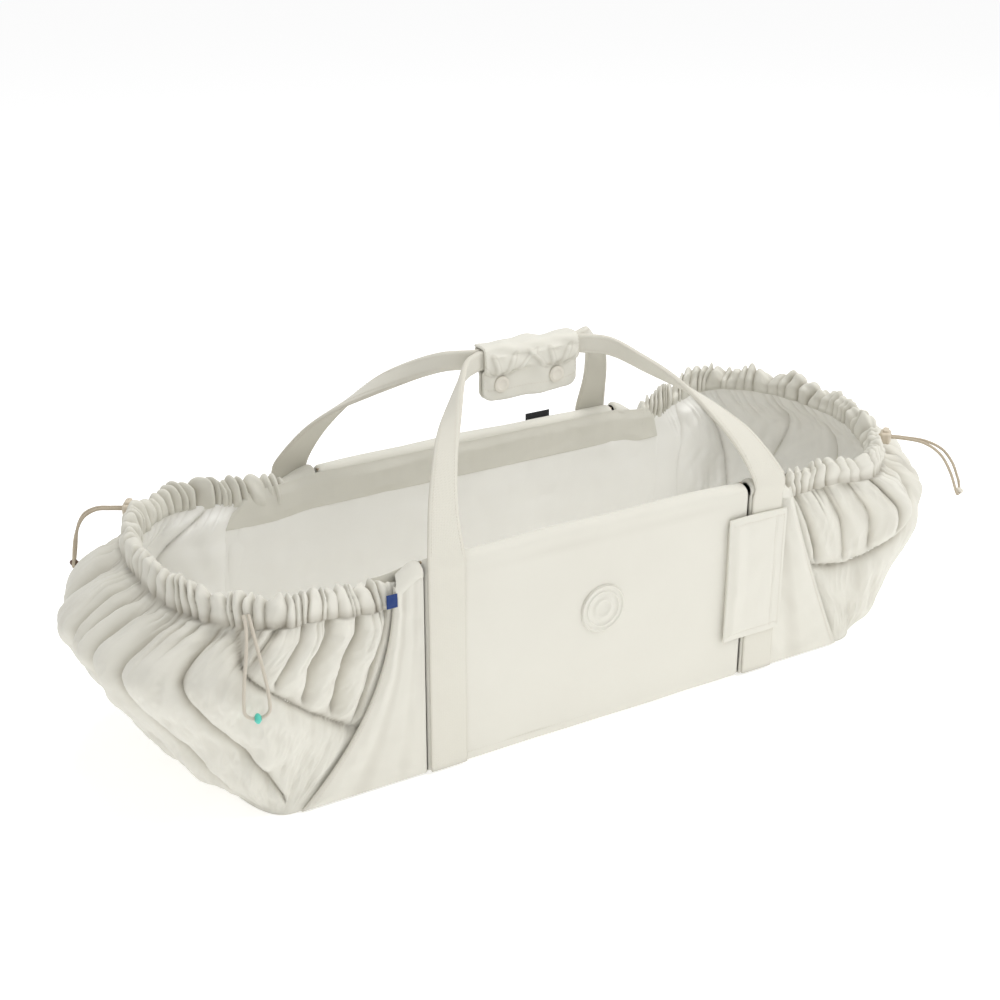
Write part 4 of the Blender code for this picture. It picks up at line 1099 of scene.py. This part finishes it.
def build_handle(side):
    word = word_of(side)
    points, across, through, width, thick, twist = strap_frames()
    a, b = strap_section()
    bow = 0.0016 * np.sin(pi * twist) * (1 + 0.3 * side)
    edge_roll = (a ** 2)[None, :] * bow[:, None]
    wave = 0.0005 * ripple(90 + side, points[:, :1], points[:, 2:] + 0 * a[None, :], 0.05)
    grid = (points[:, None] + across[:, None] * (a[None, :, None] * width[:, None, None] / 2)
            + through[:, None] * (b[None, :] * thick[:, None] / 2 + edge_roll
                                  + wave * twist[:, None])[..., None])
    # Painted shade along both rounded edges of the webbing.
    crease_shade = np.clip((np.abs(a)[None, :] > 0.93) * 0.18 + 0 * grid[..., 0], 0, 1)
    obj = skin(f"{word}_strap", turned(side, grid), WEBBING, closed_v=True, caps=True, crease_shade=crease_shade)
    start = turned(side, [0, -HINGE_Y, AXIS_Z - 0.002])
    end = turned(side, [0, -HINGE_Y, AXIS_Z + 0.026])
    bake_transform(obj, "root", f"{word}_handle", start=tuple(start), end=tuple(end))
    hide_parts(f"{word}_handle_strap", f"{word}_left_band", f"{word}_right_band")
    for rail in (-1, 1):
        for face in (-1, 1):
            inset = np.maximum(width / 2 - 0.0032, 0.004) * rail
            curl = bow * (inset / (width / 2)) ** 2
            line = points + across * inset[:, None] + through * (face * thick / 2 + curl)[:, None]
            visible = np.ones(len(points), bool)
            if face * 1 < 0:
                visible = points[:, 2] > AXIS_Z
            keep = visible & (np.abs(points[:, 0]) > GRIP_HALF - 0.002)
            for half in (points[:, 0] < 0, points[:, 0] > 0):
                chosen = keep & half
                if chosen.sum() > 3:
                    stitch(f"{word} strap", turned(side, line[chosen]), turned(side, through[chosen] * face))
    return start, end


# ---- grip
def build_grip():
    half = WRAP_T / 2
    inner = 0.0009 + GRIP_STRAP_T + 0.0009 + half
    top = GRIP_STRAP_Z + GRIP_STRAP_H / 2 + GAP + half
    waist, low = GRIP_STRAP_Z - GRIP_STRAP_H / 2 + 0.0005, SNAP_Z + SNAP_D / 2 + 0.0035
    pad_y, flap_y = 0.0003 + GAP + half, -0.0028 - GAP - half
    pad = [(inner, top - half - GAP), (inner, (top + waist) / 2), (inner, waist), (pad_y, low),
           (pad_y, SNAP_Z), (pad_y, WRAP_BOTTOM)]
    flap = [(inner + half, top), (inner * 0.3, top + 0.0006), (-inner * 0.7, top - 0.0004),
            (-inner, top - 0.007), (-inner, (top + waist) / 2), (-inner, waist), (flap_y, low),
            (flap_y, SNAP_Z), (flap_y, WRAP_BOTTOM)]
    parts = (("grip_back", pad, "back_handle", 1), ("grip_front", flap, "grip_flap", -1))
    for name, path, body, out in parts:
        line = smooth_line(path, 76)
        step = np.gradient(line, axis=0)
        step /= np.linalg.norm(step, axis=1, keepdims=True)
        normal = np.stack([step[:, 1], -step[:, 0]], -1) * -out
        if (normal[len(normal) // 2, 0] > 0) != (out > 0):
            normal = -normal
        x = out_of_step(120, -WRAP_LENGTH / 2, WRAP_LENGTH / 2, 1.7)
        share = np.linspace(0, 1, 76)
        xx, tt = np.meshgrid(x, share, indexing="ij")
        yy, zz = np.broadcast_to(line[:, 0], xx.shape), np.broadcast_to(line[:, 1], xx.shape)
        corner = 0.011
        from_end = np.clip((WRAP_LENGTH / 2 - np.abs(xx)) / corner, 0, 1)
        raise_by = corner * (1 - np.sqrt(1 - (1 - from_end) ** 2)) * 0.9
        low_part = ramp(tt, 0.72, 1.0)
        wrinkle = 0.0
        for snap in SNAP_X:
            for slope, size in ((-1.1, 1.0), (-0.35, 0.8), (0.45, 0.9), (1.2, 1.0)):
                away = (xx - snap) - slope * (zz - SNAP_Z)
                rising = ramp(zz, SNAP_Z + 0.005, SNAP_Z + 0.014) * ramp(-zz, -top + 0.002, -top + 0.012)
                wrinkle = wrinkle + size * np.exp(-(away / 0.0032) ** 2) * rising
        press = sum(np.exp(-((xx - snap) ** 2 + (zz - SNAP_Z) ** 2) / 0.009 ** 2) for snap in SNAP_X)
        relief = 0.0022 * wrinkle + 0.0009 * ripple(101 + out, xx, tt * 0.09, 0.03) - 0.0006 * press
        relief = relief * (1.0 if out < 0 else 0.6) * ramp(WRAP_LENGTH / 2 - np.abs(xx), 0, 0.006)
        sagging = 0.0015 * ripple(104 + out, xx, tt * 0, 0.05) * ramp(tt, 0.0, 0.4)
        end_roll, tip_roll = (np.sqrt(np.clip(1 - (1 - np.clip(room / 0.0014, 0, 1)) ** 2, 0, 1))
                              for room in (WRAP_LENGTH / 2 - np.abs(xx), (1 - tt) * 0.07))
        thick = half * end_roll * tip_roll
        faces = []
        for sign in (1, -1):
            shift = relief + sign * thick
            if sign < 0:
                shift = np.minimum(relief, 0.0) * 0.3 + sign * thick
            faces.append(np.stack([xx, yy + normal[:, 0] * shift, zz + normal[:, 1] * shift
                                   + raise_by * low_part + sagging * low_part * 0.5], -1))
        grid = np.concatenate([faces[0], faces[1][:, ::-1]], axis=1)
        # Painted shade on the flanks of the wrinkles that rise from the snaps; the inner face gets none.
        crease_shade = np.clip(0.5 * (1 - wrinkle) * ramp(wrinkle, 0.05, 0.4) * ramp(-wrinkle, -0.9, -0.3), 0, 1)
        crease_shade = np.concatenate([crease_shade, crease_shade * 0], axis=1)
        obj = skin(name, grid, COTTON, closed_v=True, crease_shade=crease_shade)
        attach(obj, body)
        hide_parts("grip_pad" if out > 0 else "grip_flap")
        surface = faces[0]
        for column in (6, len(x) - 7):
            stitch(body, surface[column, 8:-6], [0, out, 0], 0.0002)
        stitch(body, surface[8:-8, -7], [0, out, 0], 0.0002)


def lathe(name, profile, centre, axis, material, sides=48, closed=False):
    """Turned piece from (radius, distance along axis) pairs."""
    axis = Vector(axis).normalized()
    side = axis.orthogonal().normalized()
    up = axis.cross(side)
    angle = np.linspace(0, 2 * pi, sides, endpoint=False)
    ring = np.cos(angle)[:, None] * np.array(side) + np.sin(angle)[:, None] * np.array(up)
    rows = [np.array(centre) + np.array(axis) * h + ring * r for r, h in profile]
    return skin(name, np.array(rows).transpose(1, 0, 2), material, closed_u=True, closed_v=closed)


def disc_profile(radius, height, rings=(), rim=0.0006):
    """Round from the middle of the back, over the rim and to the middle of the face, with raised rings."""
    rows = [(0.0001, 0.0), (radius * 0.5, 0.0), (radius - rim, 0.0), (radius, rim * 0.4),
            (radius, height * 0.5), (radius - rim * 0.4, height - rim * 0.25), (radius - rim, height)]
    for at, wide, tall in rings:
        for t in np.linspace(-1, 1, 9):
            rows.append((at - wide / 2 * t, height + tall * cos(t * pi / 2) ** 0.8))
    rows.append((0.0001, height))
    return rows


def build_snaps():
    flap_face = -(0.0028 + GAP + WRAP_T + GAP)
    for x, hand in zip(SNAP_X, ("left", "right")):
        dome = disc_profile(SNAP_D / 2, 0.0020, [(0.0052, 0.0012, 0.0002)], 0.0012)
        cap = lathe(f"{hand}_snap_button", dome, (x, flap_face, SNAP_Z), (0, -1, 0), SNAP_PLASTIC)
        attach(cap, "grip_flap")
        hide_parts(f"{hand}_snap_cap")
        socket = lathe(f"{hand}_snap_cup", disc_profile(0.0055, 0.0026, [(0.0035, 0.0012, 0.0002)], 0.0007),
                       (x, 0.0002, SNAP_Z - 0.0025), (0, -1, 0), SNAP_PLASTIC)
        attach(socket, "back_handle")
        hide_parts(f"{hand}_snap_socket")


# ---- tabs, badge and labels
def build_tab(side):
    word = word_of(side)
    body = f"{word}_tab"
    face = PANEL_FACE_Y + GAP + STRAP_T + GAP + 0.0025

    def relief(x, z, u, v):
        lifted = 0.0048 * ramp(1 - u, 0.62, 1.0) * (0.6 + 0.4 * np.sin(pi * v))
        seam = -0.0007 * np.exp(-((x - (TAB_RIGHT - 0.013)) / 0.0012) ** 2)
        hems = -0.0005 * sum(np.exp(-((z - hem) / 0.001) ** 2) for hem in (TAB_LOW + 0.007, TAB_HIGH - 0.007))
        return lifted + seam + hems + 0.0005 * ripple(130 + side, x, z, 0.04)

    def x_of(u, v):
        return TAB_LEFT + (TAB_RIGHT - TAB_LEFT) * u + 0.0012 * np.sin(3 * v) * (1 - u)

    def z_of(u, v):
        return TAB_LOW + (TAB_HIGH - TAB_LOW) * v + 0.0008 * np.sin(4 * u) * v

    obj = plate(f"{word}_tab_cloth", COTTON, x_of, z_of, face, 0.0025, side, relief, (70, 90), 0.0012)
    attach(obj, body)
    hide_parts(f"{word}_tab")
    lines = [((TAB_RIGHT - 0.013, TAB_LOW + 0.004), (TAB_RIGHT - 0.013, TAB_HIGH - 0.004)),
             ((TAB_RIGHT - 0.0035, TAB_LOW + 0.004), (TAB_RIGHT - 0.0035, TAB_HIGH - 0.004)),
             ((TAB_LEFT + 0.004, TAB_LOW + 0.007), (TAB_RIGHT - 0.004, TAB_LOW + 0.007)),
             ((TAB_LEFT + 0.004, TAB_HIGH - 0.007), (TAB_RIGHT - 0.004, TAB_HIGH - 0.007))]
    for first, last in lines:
        t = np.linspace(0, 1, 40)
        x = first[0] + (last[0] - first[0]) * t
        z = first[1] + (last[1] - first[1]) * t
        u, v = (x - TAB_LEFT) / (TAB_RIGHT - TAB_LEFT), (z - TAB_LOW) / (TAB_HIGH - TAB_LOW)
        rim = np.minimum(np.minimum(x - TAB_LEFT, TAB_RIGHT - x), np.minimum(z - TAB_LOW, TAB_HIGH - z))
        lift = relief(x, z, u, v) * ramp(rim, 0, 0.012)
        stitch(body, turned(side, np.stack([x, -(face + lift), z], -1)), turned(side, [0, -1, 0]), 0.0001)
    hook = plate(f"{word}_hook_strip", WEBBING, lambda u, v: TAB_LEFT + 0.002 + 0.022 * u,
                 lambda u, v: TAB_LOW + 0.008 + (TAB_HIGH - TAB_LOW - 0.016) * v,
                 PANEL_FACE_Y + GAP + STRAP_T, STRAP_T, side, lambda x, z, u, v: 0 * x, (24, 60), 0.0008)
    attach(hook, "root")
    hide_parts(f"{word}_tab_strip")


def build_trim():
    rings = [(0.0222, 0.0022, 0.0009), (0.0172, 0.0016, 0.0007), (0.0085, 0.0040, 0.0009)]
    badge = lathe("round_badge", disc_profile(0.024, 0.0014, rings, 0.0008),
                  (0.0, -(PANEL_FACE_Y + 0.0010), 0.121), (0, -1, 0), COTTON, sides=96)
    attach(badge, "root")
    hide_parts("badge")

    def ribbon(name, node, material, x0, x1, z0, z1, side, curl):
        obj = plate(name, material, lambda u, v: x0 + (x1 - x0) * u, lambda u, v: z0 + (z1 - z0) * v,
                    PANEL_FACE_Y + 0.0019, 0.0012, side, lambda x, z, u, v: curl * np.sin(pi * v) ** 2,
                    (20, 24), 0.0006)
        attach(obj, "root")
        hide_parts(node)

    ribbon("navy_ribbon_tag", "navy_tag", NAVY, -0.223, -0.2125, 0.177, 0.190, -1, 0.0012)
    ribbon("black_ribbon_label", "black_label", BLACK, -0.112, -0.082, 0.1935, 0.2135, 1,
           0.0008)


# ---- drawcord loops
LOOPS = {
    "back_left": {"corner": (-1, 1), "place": 6.1, "yaw": 15, "lock": True, "bead": BROWN_PLASTIC,
                  "slot": "brown_plastic", "cord": CORD, "spread": 0.0082, "lean": -38,
                  "fall": [(0.044, -0.001), (0.057, -0.009), (0.065, -0.026), (0.069, -0.050)]},
    "front_left": {"corner": (-1, -1), "place": 6.3, "yaw": 28, "lock": False, "bead": MINT_PLASTIC,
                   "slot": "mint_plastic", "cord": PALE_CORD, "spread": 0.0105, "lean": 0,
                   "fall": [(0.018, -0.005), (0.029, -0.022), (0.034, -0.045), (0.036, -0.066)]},
    "front_right": {"corner": (1, -1), "place": 8.8, "yaw": -25, "lock": True, "bead": SNAP_PLASTIC,
                    "slot": "plastic", "cord": CORD, "spread": 0.0082, "lean": 40,
                    "fall": [(0.052, -0.002), (0.070, -0.011), (0.082, -0.027), (0.090, -0.046)]},
    "back_right": {"corner": (1, 1), "place": 5.5, "yaw": 30, "lock": True, "bead": SNAP_PLASTIC,
                   "slot": "plastic", "cord": CORD, "spread": 0.0074, "lean": 30,
                   "fall": [(0.037, -0.001), (0.044, -0.008), (0.047, -0.020)]},
}
CORD_EXITS = {"back_left": (-0.34368, 0.12983, 0.2), "front_left": (-0.34622, -0.12726, 0.2),
              "front_right": (0.38152, -0.07585, 0.2), "back_right": (0.32983, 0.13886, 0.2)}
CORD_HEADINGS = {"back_left": (-0.853951, 0.520354, 0), "front_left": (-0.251991, -0.96773, 0),
                 "front_right": (0.678713, -0.734404, 0), "back_right": (0.005461, 0.999985, 0)}
STRAIGHT_LOCKED, STRAIGHT_FREE = 0.030, 0.004


def loop_route(word):
    """Centre line of one loop: out along one strand, round the bead and back along the other."""
    loop = LOOPS[word]
    exit_point, heading = np.array(CORD_EXITS[word]), np.array(CORD_HEADINGS[word])
    across = np.array([-heading[1], heading[0], 0.0])
    straight = STRAIGHT_LOCKED if loop["lock"] else STRAIGHT_FREE
    route = [exit_point, exit_point + heading * straight / 2, exit_point + heading * straight]
    route += [exit_point + heading * out + np.array([0, 0, rise]) for out, rise in loop["fall"]]
    fine = smooth_line(route, 60)
    length = np.concatenate([[0], np.cumsum(np.linalg.norm(np.diff(fine, axis=0), axis=1))])
    share = ramp(length, straight + 0.004, length[-1])
    spread = STRAND_GAP + (loop["spread"] - STRAND_GAP) * share
    lean = radians(loop["lean"]) * share[:, None]
    apart = across * np.cos(lean) + np.array([0, 0, 1.0]) * np.sin(lean)
    across = apart[-1]
    there, back = fine + apart * spread[:, None], fine - apart * spread[:, None]
    onward = fine[-1] - fine[-2]
    onward = onward / np.linalg.norm(onward)
    bead = fine[-1] + onward * loop["spread"] * sin(pi / 3)
    turn = []
    for angle in np.linspace(0, pi, 17)[1:-1]:
        turn.append(fine[-1] + across * loop["spread"] * cos(angle)
                    + (bead - fine[-1]) * sin(angle) ** 0.8)
    return np.vstack([there, turn, back[::-1]]), bead, across, heading, exit_point


def superform(name, origin, axes, sizes, material, waist=0.0, power=0.45, rows=28, sides=36):
    """Rounded moulded body along axes[0], with an optional narrower waist."""
    t = np.sin(np.linspace(-pi / 2, pi / 2, rows))
    profile = np.maximum(1 - np.abs(t) ** 5, 0.0004) ** 0.35 * (1 - waist * np.exp(-(t / 0.35) ** 2))
    angle = np.linspace(0, 2 * pi, sides, endpoint=False)
    a = np.sign(np.cos(angle)) * np.abs(np.cos(angle)) ** power
    b = np.sign(np.sin(angle)) * np.abs(np.sin(angle)) ** power
    grid = (np.array(origin) + np.array(axes[0]) * (t * sizes[0] / 2)[:, None, None]
            + np.array(axes[1]) * (profile[:, None] * a * sizes[1] / 2)[..., None]
            + np.array(axes[2]) * (profile[:, None] * b * sizes[2] / 2)[..., None])
    return skin(name, grid, material, closed_v=True, caps=True)


def build_loops():
    for word, loop in LOOPS.items():
        points, bead, across, heading, exit_point = loop_route(word)
        data = bpy.data.curves.new(f"{word}_cord_loop", "CURVE")
        data.dimensions = "3D"
        data.bevel_depth = CORD_D / 2
        data.bevel_resolution = 3
        data.use_fill_caps = True
        spline = data.splines.new("POLY")
        spline.points.add(len(points) - 1)
        for slot_point, point in zip(spline.points, points):
            slot_point.co = (*point, 1.0)
        data.materials.append(loop["cord"])
        cord = bpy.data.objects.new(f"{word}_cord_loop", data)
        bpy.context.scene.collection.objects.link(cord)
        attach(cord, "root")
        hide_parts(f"{word}_loop")
        half, radius, bore = BEAD_LENGTH / 2, BEAD_D / 2, CORD_D / 2 + 0.0003
        profile = [(bore, -half), (radius * 0.55, -half * 1.02)]
        profile += [(radius * cos(radians(a)) ** 0.8, half * sin(radians(a))) for a in range(-68, 69, 8)]
        profile += [(radius * 0.55, half * 1.02), (bore, half)]
        ball = lathe(f"{word}_cord_bead", profile, bead, across, loop["bead"], sides=32, closed=True)
        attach(ball, "root")
        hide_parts(f"{word}_bead")
        length = float(np.linalg.norm(np.diff(points, axis=0), axis=1).sum())
        tuple(points[0])
        if loop["lock"]:
            origin = exit_point + heading * (0.0065 + 0.006) + np.array([0, 0, -0.0007])
            up, flat = np.array([0, 0, 1.0]), np.array([-heading[1], heading[0], 0.0])
            lock = superform(f"{word}_cord_lock", origin, (heading, flat, up), (0.012, 0.017, 0.0134),
                             BEIGE_PLASTIC, waist=0.05)
            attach(lock, f"{word}_lock")
            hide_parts(f"{word}_lock")
            crown = superform(f"{word}_lock_button", origin + up * 0.0068, (up, flat, heading),
                              (0.0052, 0.0112, 0.0066), BEIGE_PLASTIC, power=0.6)
            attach(crown, f"{word}_button")
            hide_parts(f"{word}_button")


# ---- stitches
def stitch_tree():
    """Geometry nodes: a small thread stitch on every point, turned along the seam."""
    tree = bpy.data.node_groups.new("stitch row", "GeometryNodeTree")
    tree.interface.new_socket(name="Seam", in_out="INPUT", socket_type="NodeSocketGeometry")
    for name, value in (("Stitch length", 0.0022), ("Thread thickness", 0.0005)):
        socket = tree.interface.new_socket(name=name, in_out="INPUT", socket_type="NodeSocketFloat")
        socket.default_value = value
    tree.interface.new_socket(name="Thread", in_out="INPUT", socket_type="NodeSocketMaterial")
    tree.interface.new_socket(name="Stitches", in_out="OUTPUT", socket_type="NodeSocketGeometry")
    given, result = tree.nodes.new("NodeGroupInput"), tree.nodes.new("NodeGroupOutput")
    ball = tree.nodes.new("GeometryNodeMeshUVSphere")
    ball.inputs["Segments"].default_value = 6
    ball.inputs["Rings"].default_value = 4
    ball.inputs["Radius"].default_value = 0.5
    size = tree.nodes.new("ShaderNodeCombineXYZ")
    tree.links.new(given.outputs["Thread thickness"], size.inputs["X"])
    tree.links.new(given.outputs["Thread thickness"], size.inputs["Y"])
    tree.links.new(given.outputs["Stitch length"], size.inputs["Z"])
    way = tree.nodes.new("GeometryNodeInputNamedAttribute")
    way.data_type = "FLOAT_VECTOR"
    way.inputs["Name"].default_value = "way"
    align = tree.nodes.new("FunctionNodeAlignRotationToVector")
    align.axis = "Z"
    tree.links.new(way.outputs["Attribute"], align.inputs["Vector"])
    place = tree.nodes.new("GeometryNodeInstanceOnPoints")
    tree.links.new(given.outputs["Seam"], place.inputs["Points"])
    tree.links.new(ball.outputs["Mesh"], place.inputs["Instance"])
    tree.links.new(align.outputs["Rotation"], place.inputs["Rotation"])
    tree.links.new(size.outputs["Vector"], place.inputs["Scale"])
    real = tree.nodes.new("GeometryNodeRealizeInstances")
    tree.links.new(place.outputs["Instances"], real.inputs["Geometry"])
    dye = tree.nodes.new("GeometryNodeSetMaterial")
    tree.links.new(real.outputs["Geometry"], dye.inputs["Geometry"])
    tree.links.new(given.outputs["Thread"], dye.inputs["Material"])
    tree.links.new(dye.outputs["Geometry"], result.inputs["Stitches"])
    return tree


def build_stitches(blends, spacing=0.0032):
    tree = stitch_tree()
    names = {item.name: item.identifier for item in tree.interface.items_tree if item.in_out == "INPUT"}
    for body, lines in STITCH_LINES.items():
        places, ways = [], []
        for points in lines:
            length = np.concatenate([[0], np.cumsum(np.linalg.norm(np.diff(points, axis=0), axis=1))])
            want = np.arange(spacing / 2, length[-1], spacing)
            at = np.stack([np.interp(want, length, points[:, k]) for k in range(3)], -1)
            step = np.gradient(at, axis=0) if len(at) > 1 else np.array([[1.0, 0, 0]])
            places.append(at)
            ways.append(step / np.linalg.norm(step, axis=1, keepdims=True))
        places, ways = np.vstack(places), np.vstack(ways)
        seam = bpy.data.meshes.new("seam points")
        seam.from_pydata(places.tolist(), [], [])
        seam.attributes.new("way", "FLOAT_VECTOR", "POINT").data.foreach_set("vector", ways.ravel())
        source = bpy.data.objects.new("seam points", seam)
        bpy.context.scene.collection.objects.link(source)
        rows = source.modifiers.new("stitch row", "NODES")
        rows.node_group = tree
        rows[names["Stitch length"]] = 0.0023
        rows[names["Thread thickness"]] = 0.00055
        rows[names["Thread"]] = THREAD
        bpy.context.view_layer.update()
        evaluated = source.evaluated_get(bpy.context.evaluated_depsgraph_get())
        mesh = bpy.data.meshes.new_from_object(evaluated)
        bpy.data.objects.remove(source)
        for layer in list(mesh.attributes):
            if layer.name == "way":
                mesh.attributes.remove(layer)
        if not mesh.materials:
            mesh.materials.append(THREAD)
        mesh.shade_smooth()
        name = body.replace(" ", "_") + "_stitching"
        obj = bpy.data.objects.new(name, mesh)
        bpy.context.scene.collection.objects.link(obj)
        if body in blends:
            first, second, start, end = blends[body]
            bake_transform(obj, first, second, start=tuple(start), end=tuple(end))
        else:
            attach(obj, body)


def finish_boards():
    for name in ("base_board", "front_board", "back_board"):
        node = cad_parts[name]
        node.data.materials.clear()
        node.data.materials.append(BOARD)


def main():
    build_studio()
    build_loops()
    blends = {}
    for end in (-1, 1):
        build_bowl_outer(end)
        build_bowl_lining(end)
        build_drawcord(end)
    build_base()
    build_mattress()
    for side in (-1, 1):
        build_panel(side)
        for end in (-1, 1):
            build_wing(end, side)
            build_wing_top(end, side)
        word = word_of(side)
        start, finish = build_handle(side)
        blends[f"{word} strap"] = ("root", f"{word}_handle", start, finish)
        build_tab(side)
    build_grip()
    build_snaps()
    build_trim()
    build_stitches(blends)
    finish_boards()


main()
